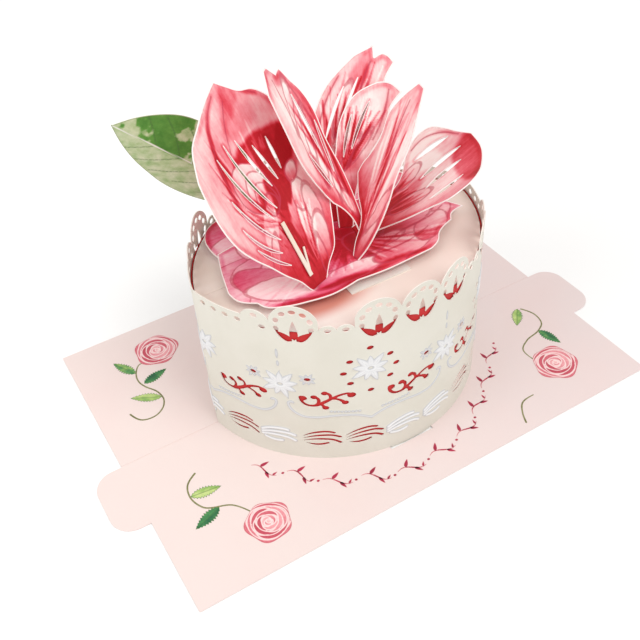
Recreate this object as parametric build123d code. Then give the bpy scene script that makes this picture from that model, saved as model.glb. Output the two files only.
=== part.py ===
from build123d import *
import math
import os

os.makedirs("parts", exist_ok=True)

# A pop up card, lying open: a folded sheet, a round paper cake with a pierced lace band, and a
# standing paper flower with a leaf. X runs along the fold, -Y is the front half, +Z is up.
# The origin is on the fold, at the middle of the sheet's underside. Lengths are in millimetres.

# Sheet of the card
card_length = 210.0
half_depth = 74.0
card_sheet = 0.5
ear_length = 31.0
ear_reach = 13.0
ear_corner = 9.0
score_width = 0.6
score_depth = 0.15

# Cake band. The lace is drawn with narrow flat facets, so that its pierced pattern stays light.
band_half_length = 62.0
band_depth = 51.0
band_sides = 48
lace_sheet = 0.4
liner_sheet = 0.4
glue_gap = 0.25
seam_gap = 0.2
lid_height = 67.0
low_edge = 66.5
tab_half_length = 9.5
slot_side_gap = 0.6

# Scalloped edge. Each lobe has a shoulder above the band's low edge, and a rise above that.
scallop_pitch = 17.3
scallop_shoulder = 6.5
scallop_rise = 6.5
low_lobe_width = 6.4
low_lobe_shoulder = 2.0
low_lobe_rise = 2.2
small_lobe_width = 11.0
small_lobe_shoulder = 5.0
small_lobe_rise = 4.0
flat_shoulder = 5.5

# Lace cuts
eyelet_length = 2.7
eyelet_width = 2.1
eyelet_sides = 4
eyelet_ring = 6.4
eyelet_ring_drop = 2.6
eyelet_turns = range(-15, 200, 35)
eyelet_row_rise = 2.6
eyelet_row_pitch = 5.4
quarter_turn = 90.0
palmette_drop = 10.4
palmette_side_leaf = 7.6
palmette_middle_leaf = 9.3
palmette_leaf_width = 2.9
palmette_side_turn = 52.0
star_pitch = 33.7
star_offset = 13.0
star_height = 44.5
star_stagger = 3.4
pattern_shift = 3.0
dot_ring = 10.6
dot_length = 2.8
dot_width = 2.1
scroll_half_length = 10.2
scroll_height = 33.0
scroll_stroke = 1.7
scroll_ball_length = 3.4
scroll_ball_width = 3.0
bar_pitch = 16.8
bar_length = 14.6
bar_height = 12.0
bar_stroke = 1.4

# Lid, ribs and risers
lid_sheet = 0.4
flap_width = 8.0
flap_drop = 6.0
rib_sheet = 0.4
rib_end_gap = 1.0
cross_rib_place = 22.0
flap_place = 40.0
rib_slot_gap = 0.1
riser_height = 3.0
riser_length = 26.0
riser_foot = 6.0
riser_sheet = 0.4
riser_place = 24.0

# Flower and leaf
rosette_sheet = 0.35
rosette_half_length = 52.0
rosette_front = 30.0
rosette_back = 38.0
petal_sheet = 0.35
bend_sides = 48
stand_gap = 0.25
petal_run = 80.0
leaf_run = 78.0

# Working values
outline_step = 4.0
overrun = 5.0
band_radius = (band_half_length ** 2 + band_depth ** 2) / (2 * band_depth)
band_centre = band_radius - band_depth
crease_arc = band_radius * math.asin(band_half_length / band_radius)
liner_radius = band_radius - lace_sheet - glue_gap
lid_radius = liner_radius - liner_sheet - glue_gap
card_top = card_sheet
lid_top = card_top + lid_height
lid_under = lid_top - lid_sheet
rosette_under = lid_top + riser_height
rosette_top = rosette_under + 2 * rosette_sheet
stand_height = rosette_top + stand_gap
scallop_spring = low_edge + scallop_shoulder
low_lobe_spring = low_edge + low_lobe_shoulder
small_lobe_spring = low_edge + small_lobe_shoulder
flat_edge = low_edge + flat_shoulder
eyelet_ring_height = scallop_spring - eyelet_ring_drop
eyelet_row_height = low_edge + eyelet_row_rise
palmette_height = scallop_spring - palmette_drop
band_top = card_top + scallop_spring + scallop_rise


def save(shape, name):
    shape.label = name
    export_step(shape, f"parts/{name}.step")


def outline(*runs):
    """A closed face from runs of points: two points make a line, more make a smooth curve.
    The curve is drawn with short straight steps."""
    points = []
    for run in runs:
        curve = Line(*run) if len(run) == 2 else Spline(*run)
        steps = 1 if len(run) == 2 else math.ceil(curve.length / outline_step)
        points += [curve @ (step / steps) for step in range(steps)]
    return make_face(Polyline(*points, close=True))


def block(x_from, x_to, y_from, y_to, z_from, z_to):
    corner = Pos(x_from, y_from, z_from)
    size = (x_to - x_from, y_to - y_from, z_to - z_from)
    return corner * Box(*size, align=(Align.MIN, Align.MIN, Align.MIN))


# The sheet of the card

def ear(side):
    """One rounded ear, on the front half beside the fold. side is -1 at the left, 1 at the right."""
    inner = side * card_length / 2
    outer = inner + side * ear_reach
    shape = Polyline(
        (inner - side * overrun, 0), (outer, 0),
        (outer, -ear_length), (inner - side * overrun, -ear_length), close=True,
    )
    face = make_face(shape)
    rounded = [v for v in face.vertices() if abs(v.X - outer) < score_depth]
    return extrude(fillet(rounded, ear_corner), amount=card_sheet)


def base_card():
    halves = Rectangle(card_length, 2 * half_depth)
    sheet = extrude(halves, amount=card_sheet) + ear(-1) + ear(1)
    score_length = card_length + 2 * ear_reach
    score = Pos(0, 0, card_top) * Box(score_length, score_width, 2 * score_depth)
    slot_width = lace_sheet + 2 * slot_side_gap + tab_half_length ** 2 / (2 * band_radius)
    slot_middle = band_depth - slot_width / 2 + slot_side_gap
    slot_length = 2 * (tab_half_length + slot_side_gap)
    slots = [
        Pos(0, side * slot_middle, card_top) * Box(slot_length, slot_width, 2 * overrun)
        for side in (-1, 1)
    ]
    return sheet - score - slots


# The cake band, worked out along the arc of its front half

def front_half(ring, z_from, z_to):
    """The front half of a ring round the band's axis, from a lower to an upper edge."""
    tube = Pos(0, band_centre, z_from) * extrude(ring, amount=z_to - z_from)
    reach = band_radius + overrun
    front = block(-reach, reach, -reach, -seam_gap / 2, z_from - overrun, z_to + overrun)
    return tube & front


def at_arc(place, radius=band_radius):
    """The plane that touches the band at an arc length from the middle: x along, y up, z out."""
    turn = place / band_radius
    out = Vector(math.sin(turn), -math.cos(turn), 0)
    along = Vector(math.cos(turn), math.sin(turn), 0)
    middle = Vector(0, band_centre, card_top) + out * radius
    return Plane(origin=middle, x_dir=along, z_dir=out)


def through(place, face):
    """A face drawn on the band at a place of the pattern, pushed through the sheet."""
    return extrude(at_arc(place + pattern_shift) * face, amount=overrun / 2, both=True)


def lobe(place, width, spring, rise):
    half = band_radius * math.sin(width / 2 / band_radius)
    foot = low_edge - overrun
    sides = Polyline((-half, spring), (-half, foot), (half, foot), (half, spring))
    if rise > 0:
        top = ThreePointArc((-half, spring), (0, spring + rise), (half, spring))
    else:
        top = Line((-half, spring), (half, spring))
    return through(place, make_face(Wire([*sides.edges(), *top.edges()])))


big_places = [0, scallop_pitch, scallop_pitch * 1.5 + 2 * low_lobe_width + scallop_pitch / 2]
low_places = [scallop_pitch * 1.5 + low_lobe_width * step for step in (0.5, 1.5)]
small_place = big_places[2] + (scallop_pitch + small_lobe_width) / 2
flat_start = small_place + small_lobe_width / 2


def both_sides(places):
    return sorted({side * place for place in places for side in (-1, 1)})


def edge_lobes():
    lobes = [lobe(s, scallop_pitch, scallop_spring, scallop_rise) for s in both_sides(big_places)]
    lobes += [lobe(s, low_lobe_width, low_lobe_spring, low_lobe_rise) for s in both_sides(low_places)]
    lobes += [lobe(s, small_lobe_width, small_lobe_spring, small_lobe_rise)
              for s in both_sides([small_place])]
    flat_width = crease_arc + pattern_shift - flat_start
    steps = 2
    for step in range(steps):
        middle = flat_start + flat_width * (step + 0.5) / steps
        lobes += [lobe(s, flat_width / steps, flat_edge, 0) for s in both_sides([middle])]
    return lobes


def oval(length, width):
    """A small oval cut, with few sides, its long axis along x."""
    turns = [2 * math.pi * k / eyelet_sides for k in range(eyelet_sides)]
    points = [(length / 2 * math.cos(t), width / 2 * math.sin(t)) for t in turns]
    return make_face(Polyline(*points, close=True))


leaf_cut_shares = [(0, 0), (0.4, 0.46), (0.8, 0.42), (1.02, 0), (0.8, -0.42), (0.4, -0.46)]


def leaf_cut(length, width):
    """A pointed leaf from the origin along x."""
    return make_face(Polyline(*[(u * length, v * width) for u, v in leaf_cut_shares], close=True))


def stroke(points, widths):
    """A stroke of changing width along a centre line."""
    left = []
    right = []
    for k, (x, y) in enumerate(points):
        ahead = points[min(k + 1, len(points) - 1)]
        behind = points[max(k - 1, 0)]
        run = math.hypot(ahead[0] - behind[0], ahead[1] - behind[1])
        nx = -(ahead[1] - behind[1]) / run
        ny = (ahead[0] - behind[0]) / run
        left.append((x + nx * widths[k] / 2, y + ny * widths[k] / 2))
        right.append((x - nx * widths[k] / 2, y - ny * widths[k] / 2))
    return make_face(Polyline(*left, *reversed(right), close=True))


def eyelet(place, across, height, turn=0):
    return through(place, Pos(across, height) * Rot(0, 0, turn) * oval(eyelet_length, eyelet_width))


def eyelet_cuts():
    cuts = []
    for place in both_sides(big_places):
        for turn in eyelet_turns:
            across = eyelet_ring * math.cos(math.radians(turn))
            height = eyelet_ring_height + eyelet_ring * math.sin(math.radians(turn))
            cuts.append(eyelet(place, across, height, turn + quarter_turn))
    for place in both_sides(low_places + [small_place - eyelet_length]):
        cuts.append(eyelet(place, 0, eyelet_row_height - eyelet_width / 3))
    for place in both_sides([small_place]):
        cuts.append(eyelet(place, 0, eyelet_ring_height + eyelet_length))
    count = int((crease_arc + pattern_shift - flat_start) / eyelet_row_pitch)
    for step in range(count):
        for place in both_sides([flat_start + eyelet_row_pitch * (step + 0.25)]):
            if abs(place + pattern_shift) < crease_arc - eyelet_length:
                cuts.append(eyelet(place, 0, eyelet_row_height))
    return cuts


def palmette_cuts():
    cuts = []
    leaves = [
        (quarter_turn - palmette_side_turn, palmette_side_leaf), (quarter_turn, palmette_middle_leaf),
        (quarter_turn + palmette_side_turn, palmette_side_leaf),
    ]
    for place in both_sides(big_places):
        for turn, length in leaves:
            start = Pos(0, palmette_height) * Rot(0, 0, turn) * Pos(palmette_leaf_width / 3, 0)
            cuts.append(through(place, start * leaf_cut(length, palmette_leaf_width)))
    return cuts


dot_ring_shares = [(0, 0.93), (0.72, 0.42), (0.95, -0.11), (0.72, -0.62), (0, -1.1),
                   (-0.72, -0.62), (-0.95, -0.11), (-0.72, 0.42)]
dot_pair_shares = [(0.98, 0.33), (-0.98, 0.33)]
dot_steps = (-2, -1, 0, 1)


def star_place(step):
    return star_offset + star_pitch * step


def dot_cuts():
    cuts = []
    for step in dot_steps:
        shares = dot_ring_shares if step % 2 else dot_pair_shares
        lift = star_stagger if step % 2 else -star_stagger
        for across, up in shares:
            spot = Pos(across * dot_ring, star_height + lift + up * dot_ring)
            cuts.append(through(star_place(step), spot * oval(dot_length, dot_width)))
    return cuts


scroll_stem_shares = [(-0.93, 0.16), (-0.76, -0.2), (-0.3, -0.2), (0.45, 0.28), (0.94, 0.22)]
scroll_branch_shares = [
    [(-0.42, -0.19), (-0.3, 0.06), (-0.48, 0.24)],
    [(0.12, 0.05), (0.14, 0.3), (-0.04, 0.44)],
    [(0.2, 0.1), (0.5, 0.05), (0.7, -0.16)],
    [(-0.2, -0.14), (-0.1, -0.26), (-0.04, -0.38)],
]
scroll_ball_shares = [(-0.86, 0.14), (0.93, 0.24)]
scroll_stem_taper_shares = [1.4, 0.8, 1.1, 0.9, 1.4]
scroll_branch_taper_shares = [0.7, 0.9, 1.8]


def scaled_points(shares, size):
    return [(x * size, y * size) for x, y in shares]


def tapered(shares, size, width, taper_shares):
    """A stroke whose points and widths are shares of a size and a width."""
    return stroke(scaled_points(shares, size), [width * share for share in taper_shares])


scroll_steps = (-2, -1, 0, 1)


def scroll_cuts(step):
    """An S stem with curled ends and four short branches, between two stars."""
    place = star_place(step) - star_pitch / 2
    merged = tapered(scroll_stem_shares, scroll_half_length, scroll_stroke, scroll_stem_taper_shares)
    for shares in scroll_branch_shares:
        merged += tapered(shares, scroll_half_length, scroll_stroke, scroll_branch_taper_shares)
    for across, up in scaled_points(scroll_ball_shares, scroll_half_length):
        merged += Pos(across, up) * oval(scroll_ball_length, scroll_ball_width)
    return [through(place, Pos(0, scroll_height) * face) for face in merged.faces()]


bar_stroke_shares = [
    [(-0.5, 0.06), (-0.1, 0.24), (0.34, 0.2)],
    [(-0.5, -0.03), (0, 0.1), (0.5, 0.02)],
    [(-0.5, -0.12), (0, -0.04), (0.5, -0.2)],
    [(-0.42, -0.2), (-0.15, -0.25), (0.16, -0.2)],
]
bar_taper_shares = [0.35, 1.0, 0.9]
bar_offset_share = 0.4
cut_bar_steps = [-4, -2, -1, 2, 3]


def bar_cuts():
    cuts = []
    for step in cut_bar_steps:
        for shares in bar_stroke_shares:
            face = tapered(shares, bar_length, bar_stroke, bar_taper_shares)
            place = bar_pitch * (step - bar_offset_share)
            cuts.append(through(place, Pos(0, bar_height) * face))
    return cuts


def lace_band():
    """The front half of the lace band: scalloped top, glue tab at the middle, pierced."""
    reach = band_radius + overrun
    body = block(-reach, reach, -reach, 0, card_top, card_top + low_edge)
    tab = block(-tab_half_length, tab_half_length, -reach, 0, 0, card_top + overrun)
    stencil = body + tab + edge_lobes()
    outside = RegularPolygon(band_radius, band_sides)
    inside = RegularPolygon(band_radius - lace_sheet, band_sides)
    band = front_half(outside - inside, 0, band_top + overrun) & stencil
    cuts = eyelet_cuts() + palmette_cuts() + dot_cuts() + bar_cuts()
    for step in scroll_steps:
        cuts += scroll_cuts(step)
    return band - cuts


def liner_band():
    return front_half(Circle(liner_radius) - Circle(liner_radius - liner_sheet), card_top, lid_top)


def turned(shape):
    """The same piece, turned half round for the back of the cake."""
    return Rot(0, 0, 180) * shape


# The lid and what carries it

def lens(radius):
    """The lid's plan: where the front and back circles overlap."""
    return (Pos(0, band_centre) * Circle(radius)) & (Pos(0, -band_centre) * Circle(radius))


def cake_top():
    lid = Pos(0, 0, lid_under) * extrude(lens(lid_radius), amount=lid_sheet)
    score = Pos(0, 0, lid_top) * Box(2 * band_half_length, score_width, 2 * score_depth)
    lid = lid - score
    depth = flap_width ** 2 / (8 * lid_radius) + lid_sheet
    for side in (0, 180):
        for place in (-flap_place, 0, flap_place):
            plane = at_arc(place, lid_radius - depth)
            middle = plane * Pos(0, lid_height - lid_sheet - flap_drop / 2, 0)
            lid = lid + Rot(0, 0, side) * (middle * Box(flap_width, flap_drop, lid_sheet))
    return lid


def fold_rib():
    end = math.sqrt((lid_radius) ** 2 - band_centre ** 2) - rib_end_gap
    rib = block(-end, end, -rib_sheet / 2, rib_sheet / 2, card_top, lid_under)
    middle = (card_top + lid_under) / 2
    wide = rib_sheet / 2 + rib_slot_gap
    for x in (-cross_rib_place, cross_rib_place):
        rib = rib - block(x - wide, x + wide, -overrun, overrun, middle, lid_under + overrun)
    return rib


def cross_rib(side):
    x = side * cross_rib_place
    end = math.sqrt(lid_radius ** 2 - (cross_rib_place + rib_sheet) ** 2) - band_centre - rib_end_gap
    rib = block(x - rib_sheet / 2, x + rib_sheet / 2, -end, end, card_top, lid_under)
    middle = (card_top + lid_under) / 2
    wide = rib_sheet / 2 + rib_slot_gap
    return rib - block(x - overrun, x + overrun, -wide, wide, card_top - overrun, middle)


def riser():
    """A strip folded twice: a foot on the lid, a wall, and a head under the rosette."""
    wall = -riser_place
    half = riser_length / 2
    foot = block(-half, half, wall - riser_foot, wall, lid_top, lid_top + riser_sheet)
    upright = block(-half, half, wall, wall + riser_sheet, lid_top, rosette_under)
    head = block(-half, half, wall, wall + riser_foot, rosette_under - riser_sheet, rosette_under)
    return foot + upright + head


# The flower

rosette_lower_shares = [
    [(-0.58, 0.95), (-0.7, 0.93), (-0.8, 0.84), (-0.86, 0.7), (-0.88, 0.5), (-0.84, 0.25), (-0.72, 0.1)],
    [(-0.72, 0.1), (-0.74, -0.3), (-0.5, -0.5), (-0.2, -0.62), (0.2, -0.6), (0.6, -0.45), (0.72, -0.1)],
    [(0.72, -0.1), (0.86, 0.1), (0.92, 0.35), (0.84, 0.62), (0.68, 0.75), (0.52, 0.72)],
    [(0.52, 0.72), (0.4, 0.92), (0.2, 1.04), (0.02, 0.98), (-0.06, 0.84)],
    [(-0.06, 0.84), (-0.2, 1.02), (-0.36, 1.04), (-0.46, 0.9)],
    [(-0.46, 0.9), (-0.5, 0.98), (-0.58, 0.95)],
]
rosette_upper_shares = [
    [(-0.86, 0.5), (-0.92, 0.2), (-0.97, -0.12), (-0.99, -0.26)],
    [(-0.99, -0.26), (-0.97, -0.46), (-0.87, -0.62)],
    [(-0.87, -0.62), (-0.85, -0.72), (-0.71, -0.87), (-0.56, -0.94), (-0.42, -0.98), (-0.17, -0.93)],
    [(-0.17, -0.93), (0.05, -0.96), (0.25, -0.95), (0.46, -0.93)],
    [(0.46, -0.93), (0.56, -0.84), (0.62, -0.72), (0.79, -0.58)],
    [(0.79, -0.58), (0.84, -0.47), (0.97, -0.42)],
    [(0.97, -0.42), (0.9, -0.2), (0.82, 0.0), (0.7, 0.3)],
    [(0.7, 0.3), (0.4, 0.5), (0.0, 0.55), (-0.4, 0.62), (-0.86, 0.5)],
]


def layer(runs, x_size, y_size, z_from):
    points = [[(x * x_size, y * y_size) for x, y in run] for run in runs]
    return Pos(0, 0, z_from) * extrude(outline(*points), amount=rosette_sheet)


def sheet_plane(foot_x, foot_y, heading, slope):
    """A petal's own plane: x along the petal, y across it, z out of its inner face.
    heading is the compass turn of its lean, slope the angle above level, in degrees."""
    heading = math.radians(heading)
    slope = math.radians(slope)
    along = Vector(math.cos(heading) * math.cos(slope), math.sin(heading) * math.cos(slope), math.sin(slope))
    across = Vector(-math.sin(heading), math.cos(heading), 0)
    return Plane(origin=(foot_x, foot_y, stand_height), x_dir=along, z_dir=along.cross(across))


def bent_sheet(plane, bend, middle, width):
    """A sheet bent in narrow flats round a line along the petal, hollow on its inner face."""
    ring = RegularPolygon(bend + petal_sheet, bend_sides) - RegularPolygon(bend, bend_sides)
    ring = ring & (Pos(0, -bend) * Rectangle(2 * width, 2 * bend))
    across = Plane(origin=(-overrun, middle, bend), x_dir=(0, 1, 0), z_dir=(1, 0, 0))
    return plane * extrude(across * ring, amount=petal_run + 3 * overrun)


def creased_sheet(plane, crease, low_slope, high_slope, width, length):
    """A sheet folded along a line: the slopes of the two wings rise towards the inner face."""
    low = math.tan(math.radians(low_slope))
    high = math.tan(math.radians(high_slope))
    profile = Polyline(
        (-width, width * low), (0, 0), (width, width * high),
        (width, width * high + petal_sheet), (0, petal_sheet), (-width, width * low + petal_sheet),
        close=True,
    )
    across = Plane(origin=(-overrun, crease, -petal_sheet), x_dir=(0, 1, 0), z_dir=(1, 0, 0))
    return plane * extrude(across * make_face(profile), amount=length + 3 * overrun)


def flat_sheet(plane, width, length):
    slab = Box(length + 3 * overrun, 2 * width, petal_sheet, align=(Align.MIN, Align.CENTER, Align.MAX))
    return plane * Pos(-overrun, 0, 0) * slab


def slit(plane, start, end, bow, width, deep):
    """A slit with pointed ends, widest at its middle, bowed to one side."""
    run = math.hypot(end[0] - start[0], end[1] - start[1])
    side = (-(end[1] - start[1]) / run, (end[0] - start[0]) / run)
    middle = ((start[0] + end[0]) / 2, (start[1] + end[1]) / 2)
    far, near = [
        (middle[0] + side[0] * edge, middle[1] + side[1] * edge)
        for edge in (bow + width / 2, bow - width / 2)
    ]
    face = make_face(Polyline(start, far, end, near, close=True))
    return plane * extrude(face, amount=deep, both=True)


def cut_petal(sheet, plane, runs, slits, deep, slit_width):
    """Cuts a petal's outline and slits from its sheet, and trims its foot level."""
    prism = plane * extrude(outline(*runs), amount=deep, both=True)
    petal = sheet & prism
    cuts = [slit(plane, start, end, bow, slit_width, deep) for start, end, bow in slits]
    if cuts:
        petal = petal - cuts
    reach = 2 * card_length
    return petal - block(-reach, reach, -reach, reach, -reach, stand_height)


def scaled(runs, size):
    return [scaled_points(run, size) for run in runs]


left_petal_size = 80.0
left_petal_bend = 60.0
left_petal_middle = 5.0
left_foot_x = -19.0
left_foot_y = -21.0
left_lean = (115, 60)
left_petal_shares = [
    [(-0.02, 0.0), (-0.01, 0.08), (0.07, 0.13), (0.14, 0.19), (0.22, 0.25), (0.3, 0.32), (0.4, 0.39), (0.5, 0.42),
     (0.6, 0.42), (0.7, 0.4)],
    [(0.7, 0.4), (0.76, 0.36), (0.806, 0.325), (0.875, 0.21), (0.921, 0.135), (0.985, 0.014)],
    [(0.985, 0.014), (0.943, -0.032), (0.904, -0.077), (0.882, -0.136), (0.82, -0.188)],
    [(0.82, -0.188), (0.6, -0.25), (0.42, -0.26), (0.26, -0.205)],
    [(0.26, -0.205), (0.16, -0.165), (0.1, -0.135), (0.04, -0.06), (-0.02, 0.0)],
]
left_slit_shares = [
    ((0.4, 0.04), (0.75, 0.135), 0.02), ((0.49, 0.005), (0.74, 0.065), 0.005), ((0.5, -0.04), (0.68, -0.005), 0.0),
    ((0.53, -0.08), (0.68, -0.085), 0.0), ((0.37, 0.085), (0.72, 0.21), 0.02), ((0.28, 0.11), (0.55, 0.26), 0.02),
    ((0.23, 0.14), (0.43, 0.29), 0.02), ((0.16, 0.13), (0.32, 0.27), 0.01),
]
left_slit_width = 0.9

slim_left_size = 77.0
slim_left_foot_x = 4.0
slim_left_foot_y = -11.0
slim_left_lean = (120, 70)
slim_left_crease = 9.5
slim_left_wing_slopes = (12, 14)
slim_left_shares = [
    [(-0.02, 0.025), (0.08, 0.018), (0.16, 0.028), (0.229, 0.058), (0.289, 0.101)],
    [(0.289, 0.101), (0.353, 0.131), (0.446, 0.184), (0.548, 0.229), (0.743, 0.26), (0.913, 0.282)],
    [(0.913, 0.282), (1.008, 0.245)],
    [(1.008, 0.245), (1.012, 0.213)],
    [(1.012, 0.213), (0.955, 0.15)],
    [(0.955, 0.15), (0.968, 0.109)],
    [(0.968, 0.109), (0.895, 0.075)],
    [(0.895, 0.075), (0.83, 0.04), (0.738, 0.014), (0.582, 0.006), (0.409, -0.02), (0.283, -0.03)],
    [(0.283, -0.03), (0.12, -0.03), (-0.02, -0.02)],
    [(-0.02, -0.02), (-0.02, 0.025)],
]
slim_left_slit_shares = [
    ((0.55, 0.06), (0.84, 0.1), 0.0), ((0.42, 0.03), (0.68, 0.03), 0.0), ((0.36, 0.07), (0.56, 0.13), 0.0),
]
slim_left_slit_width = 0.9

back_outer_size = 66.0
back_outer_bend = 45.0
back_outer_foot_y = 8.0
back_outer_lean = (75, 75)
back_outer_shares = [
    [(-0.03, 0.03), (0.15, 0.05), (0.4, 0.05), (0.67, -0.01), (0.8, -0.09), (0.87, -0.165), (0.94, -0.25)],
    [(0.94, -0.25), (0.985, -0.35)],
    [(0.985, -0.35), (0.92, -0.35)],
    [(0.92, -0.35), (0.94, -0.39), (0.89, -0.44)],
    [(0.89, -0.44), (0.82, -0.4), (0.7, -0.36), (0.5, -0.3), (0.25, -0.18), (-0.03, -0.1)],
    [(-0.03, -0.1), (-0.03, 0.03)],
]
back_outer_slit_shares = [((0.5, -0.05), (0.78, -0.18), 0.006), ((0.45, -0.1), (0.82, -0.26), 0.006)]

back_inner_size = 55.0
back_inner_bend = 40.0
back_inner_foot_x = 1.0
back_inner_foot_y = 3.0
back_inner_lean = (70, 72)
back_inner_shares = [
    [(-0.03, -0.02), (0.3, -0.02), (0.55, -0.05), (0.75, -0.1), (0.9, -0.2), (0.98, -0.36)],
    [(0.98, -0.36), (0.975, -0.42), (0.91, -0.49)],
    [(0.91, -0.49), (0.82, -0.425), (0.7, -0.39), (0.6, -0.34), (0.5, -0.275), (0.3, -0.18), (-0.03, -0.12)],
    [(-0.03, -0.12), (-0.03, -0.02)],
]
back_inner_slit_shares = [((0.55, -0.16), (0.86, -0.3), 0.009), ((0.5, -0.1), (0.78, -0.18), 0.007)]
back_slit_width = 0.9

slim_right_size = 66.0
slim_right_foot_x = -3.0
slim_right_foot_y = -15.0
slim_right_lean = (0, 60)
slim_right_shares = [
    [(-0.03, -0.02), (0.08, 0.03), (0.16, 0.045), (0.22, 0.075), (0.3, 0.165), (0.4, 0.245)],
    [(0.4, 0.245), (0.46, 0.24), (0.53, 0.215), (0.63, 0.195), (0.784, 0.209), (0.92, 0.15)],
    [(0.92, 0.15), (1.0, 0.093)],
    [(1.0, 0.093), (0.99, 0.04)],
    [(0.99, 0.04), (0.86, 0.0), (0.72, -0.04), (0.5, -0.056), (0.39, -0.08), (0.2, -0.092), (0.08, -0.08),
     (-0.03, -0.045)],
    [(-0.03, -0.045), (-0.03, -0.02)],
]

right_petal_size = 57.0
right_petal_bend = 50.0
right_petal_middle = -2.0
right_foot_x = 6.0
right_foot_y = -2.0
right_lean = (-14, 33)
right_petal_shares = [
    [(-0.03, 0.04), (0.2, 0.05), (0.43, 0.1), (0.61, 0.26), (0.733, 0.3), (0.81, 0.29), (0.896, 0.2), (0.93, 0.14)],
    [(0.93, 0.14), (1.0, 0.034)],
    [(1.0, 0.034), (0.991, -0.139), (0.938, -0.29), (0.88, -0.4), (0.78, -0.48), (0.66, -0.48), (0.5, -0.37),
     (0.33, -0.275), (0.15, -0.17), (-0.03, -0.08)],
    [(-0.03, -0.08), (-0.03, 0.04)],
]
right_slit_shares = [
    ((0.6, 0.155), (0.87, 0.14), 0.009), ((0.56, -0.01), (0.89, 0.0), 0.009), ((0.55, -0.125), (0.84, -0.115), 0.009),
    ((0.53, -0.26), (0.79, -0.28), -0.012),
]
right_slit_width = 2.1

strip_width = 1.7
strip_length = 22.0
strip_start = 5.0
strip_fork = 9.0
strip_fork_turn = 18.0

leaf_foot_x = -15.0
leaf_foot_y = 38.0
leaf_lean = (184.5, 46.0)
leaf_roll = 68.0
leaf_crease_slopes = (14.0, 10.0)
leaf_shares = [
    [(-0.02, -0.03), (0.1, -0.12), (0.3, -0.185), (0.5, -0.19), (0.62, -0.165), (0.71, -0.14), (0.83, -0.09),
     (0.97, -0.01)],
    [(0.97, -0.01), (0.89, 0.08), (0.81, 0.14), (0.72, 0.185), (0.63, 0.205), (0.58, 0.208), (0.46, 0.19),
     (0.36, 0.18), (0.26, 0.16), (0.12, 0.09), (-0.02, 0.03)],
    [(-0.02, 0.03), (-0.02, -0.03)],
]
leaf_under_shares = [
    [(-0.02, 0.0), (0.1, 0.0), (0.5, 0.01)],
    [(0.5, 0.01), (0.6, 0.19)],
    [(0.6, 0.19), (0.48, 0.22), (0.39, 0.215), (0.3, 0.19), (0.24, 0.165), (0.12, 0.1), (-0.02, 0.04)],
    [(-0.02, 0.04), (-0.02, 0.0)],
]


def scale_slits(slits, size):
    return [(*scaled_points((start, end), size), bow * size) for start, end, bow in slits]


def left_petal():
    plane = sheet_plane(left_foot_x, left_foot_y, *left_lean)
    sheet = bent_sheet(plane, left_petal_bend, left_petal_middle, left_petal_size / 2)
    return cut_petal(sheet, plane, scaled(left_petal_shares, left_petal_size),
                     scale_slits(left_slit_shares, left_petal_size), left_petal_bend / 2, left_slit_width)


def slim_left_petal():
    plane = sheet_plane(slim_left_foot_x, slim_left_foot_y, *slim_left_lean)
    sheet = creased_sheet(plane, slim_left_crease, *slim_left_wing_slopes, slim_left_size / 2, slim_left_size)
    return cut_petal(sheet, plane, scaled(slim_left_shares, slim_left_size),
                     scale_slits(slim_left_slit_shares, slim_left_size), slim_left_size / 3, slim_left_slit_width)


def back_petal_outer():
    plane = sheet_plane(0, back_outer_foot_y, *back_outer_lean)
    sheet = bent_sheet(plane, back_outer_bend, 0, back_outer_size / 2)
    return cut_petal(sheet, plane, scaled(back_outer_shares, back_outer_size),
                     scale_slits(back_outer_slit_shares, back_outer_size), back_outer_bend / 2, back_slit_width)


def back_petal_inner():
    plane = sheet_plane(back_inner_foot_x, back_inner_foot_y, *back_inner_lean)
    sheet = bent_sheet(plane, back_inner_bend, 0, back_inner_size / 2)
    return cut_petal(sheet, plane, scaled(back_inner_shares, back_inner_size),
                     scale_slits(back_inner_slit_shares, back_inner_size), back_inner_bend / 2, back_slit_width)


def slim_right_petal():
    plane = sheet_plane(slim_right_foot_x, slim_right_foot_y, *slim_right_lean)
    sheet = flat_sheet(plane, slim_right_size / 2, slim_right_size)
    return cut_petal(sheet, plane, scaled(slim_right_shares, slim_right_size), [], overrun, 0)


def right_petal():
    plane = sheet_plane(right_foot_x, right_foot_y, *right_lean)
    sheet = bent_sheet(plane, right_petal_bend, right_petal_middle, right_petal_size / 2)
    return cut_petal(sheet, plane, scaled(right_petal_shares, right_petal_size),
                     scale_slits(right_slit_shares, right_petal_size), right_petal_bend / 2, right_slit_width)


def stamen_strip():
    """A forked strip that stands on the rosette and leans along the left petal's inner face."""
    plane = sheet_plane(left_foot_x, left_foot_y, *left_lean)
    lifted = plane * Pos(strip_start, left_petal_middle, petal_sheet + stand_gap)
    strip = lifted * Box(strip_length, strip_width, petal_sheet, align=(Align.MIN, Align.CENTER, Align.MIN))
    arm_place = Pos(strip_width, 0, 0) * Rot(0, 0, -strip_fork_turn)
    arm = lifted * arm_place * Box(strip_fork, strip_width / 2, petal_sheet, align=(Align.MIN, Align.MAX, Align.MIN))
    return strip + arm


def leaf_plane():
    upright = sheet_plane(leaf_foot_x, leaf_foot_y, *leaf_lean)
    return upright * Rot(leaf_roll, 0, 0)


def leaf_sheet(shares, drop):
    plane = Plane(leaf_plane() * Pos(0, 0, -drop))
    sheet = creased_sheet(plane, 0, *leaf_crease_slopes, leaf_run / 2, leaf_run)
    return cut_petal(sheet, plane, scaled(shares, leaf_run), [], leaf_run / 3, 0)


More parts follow.
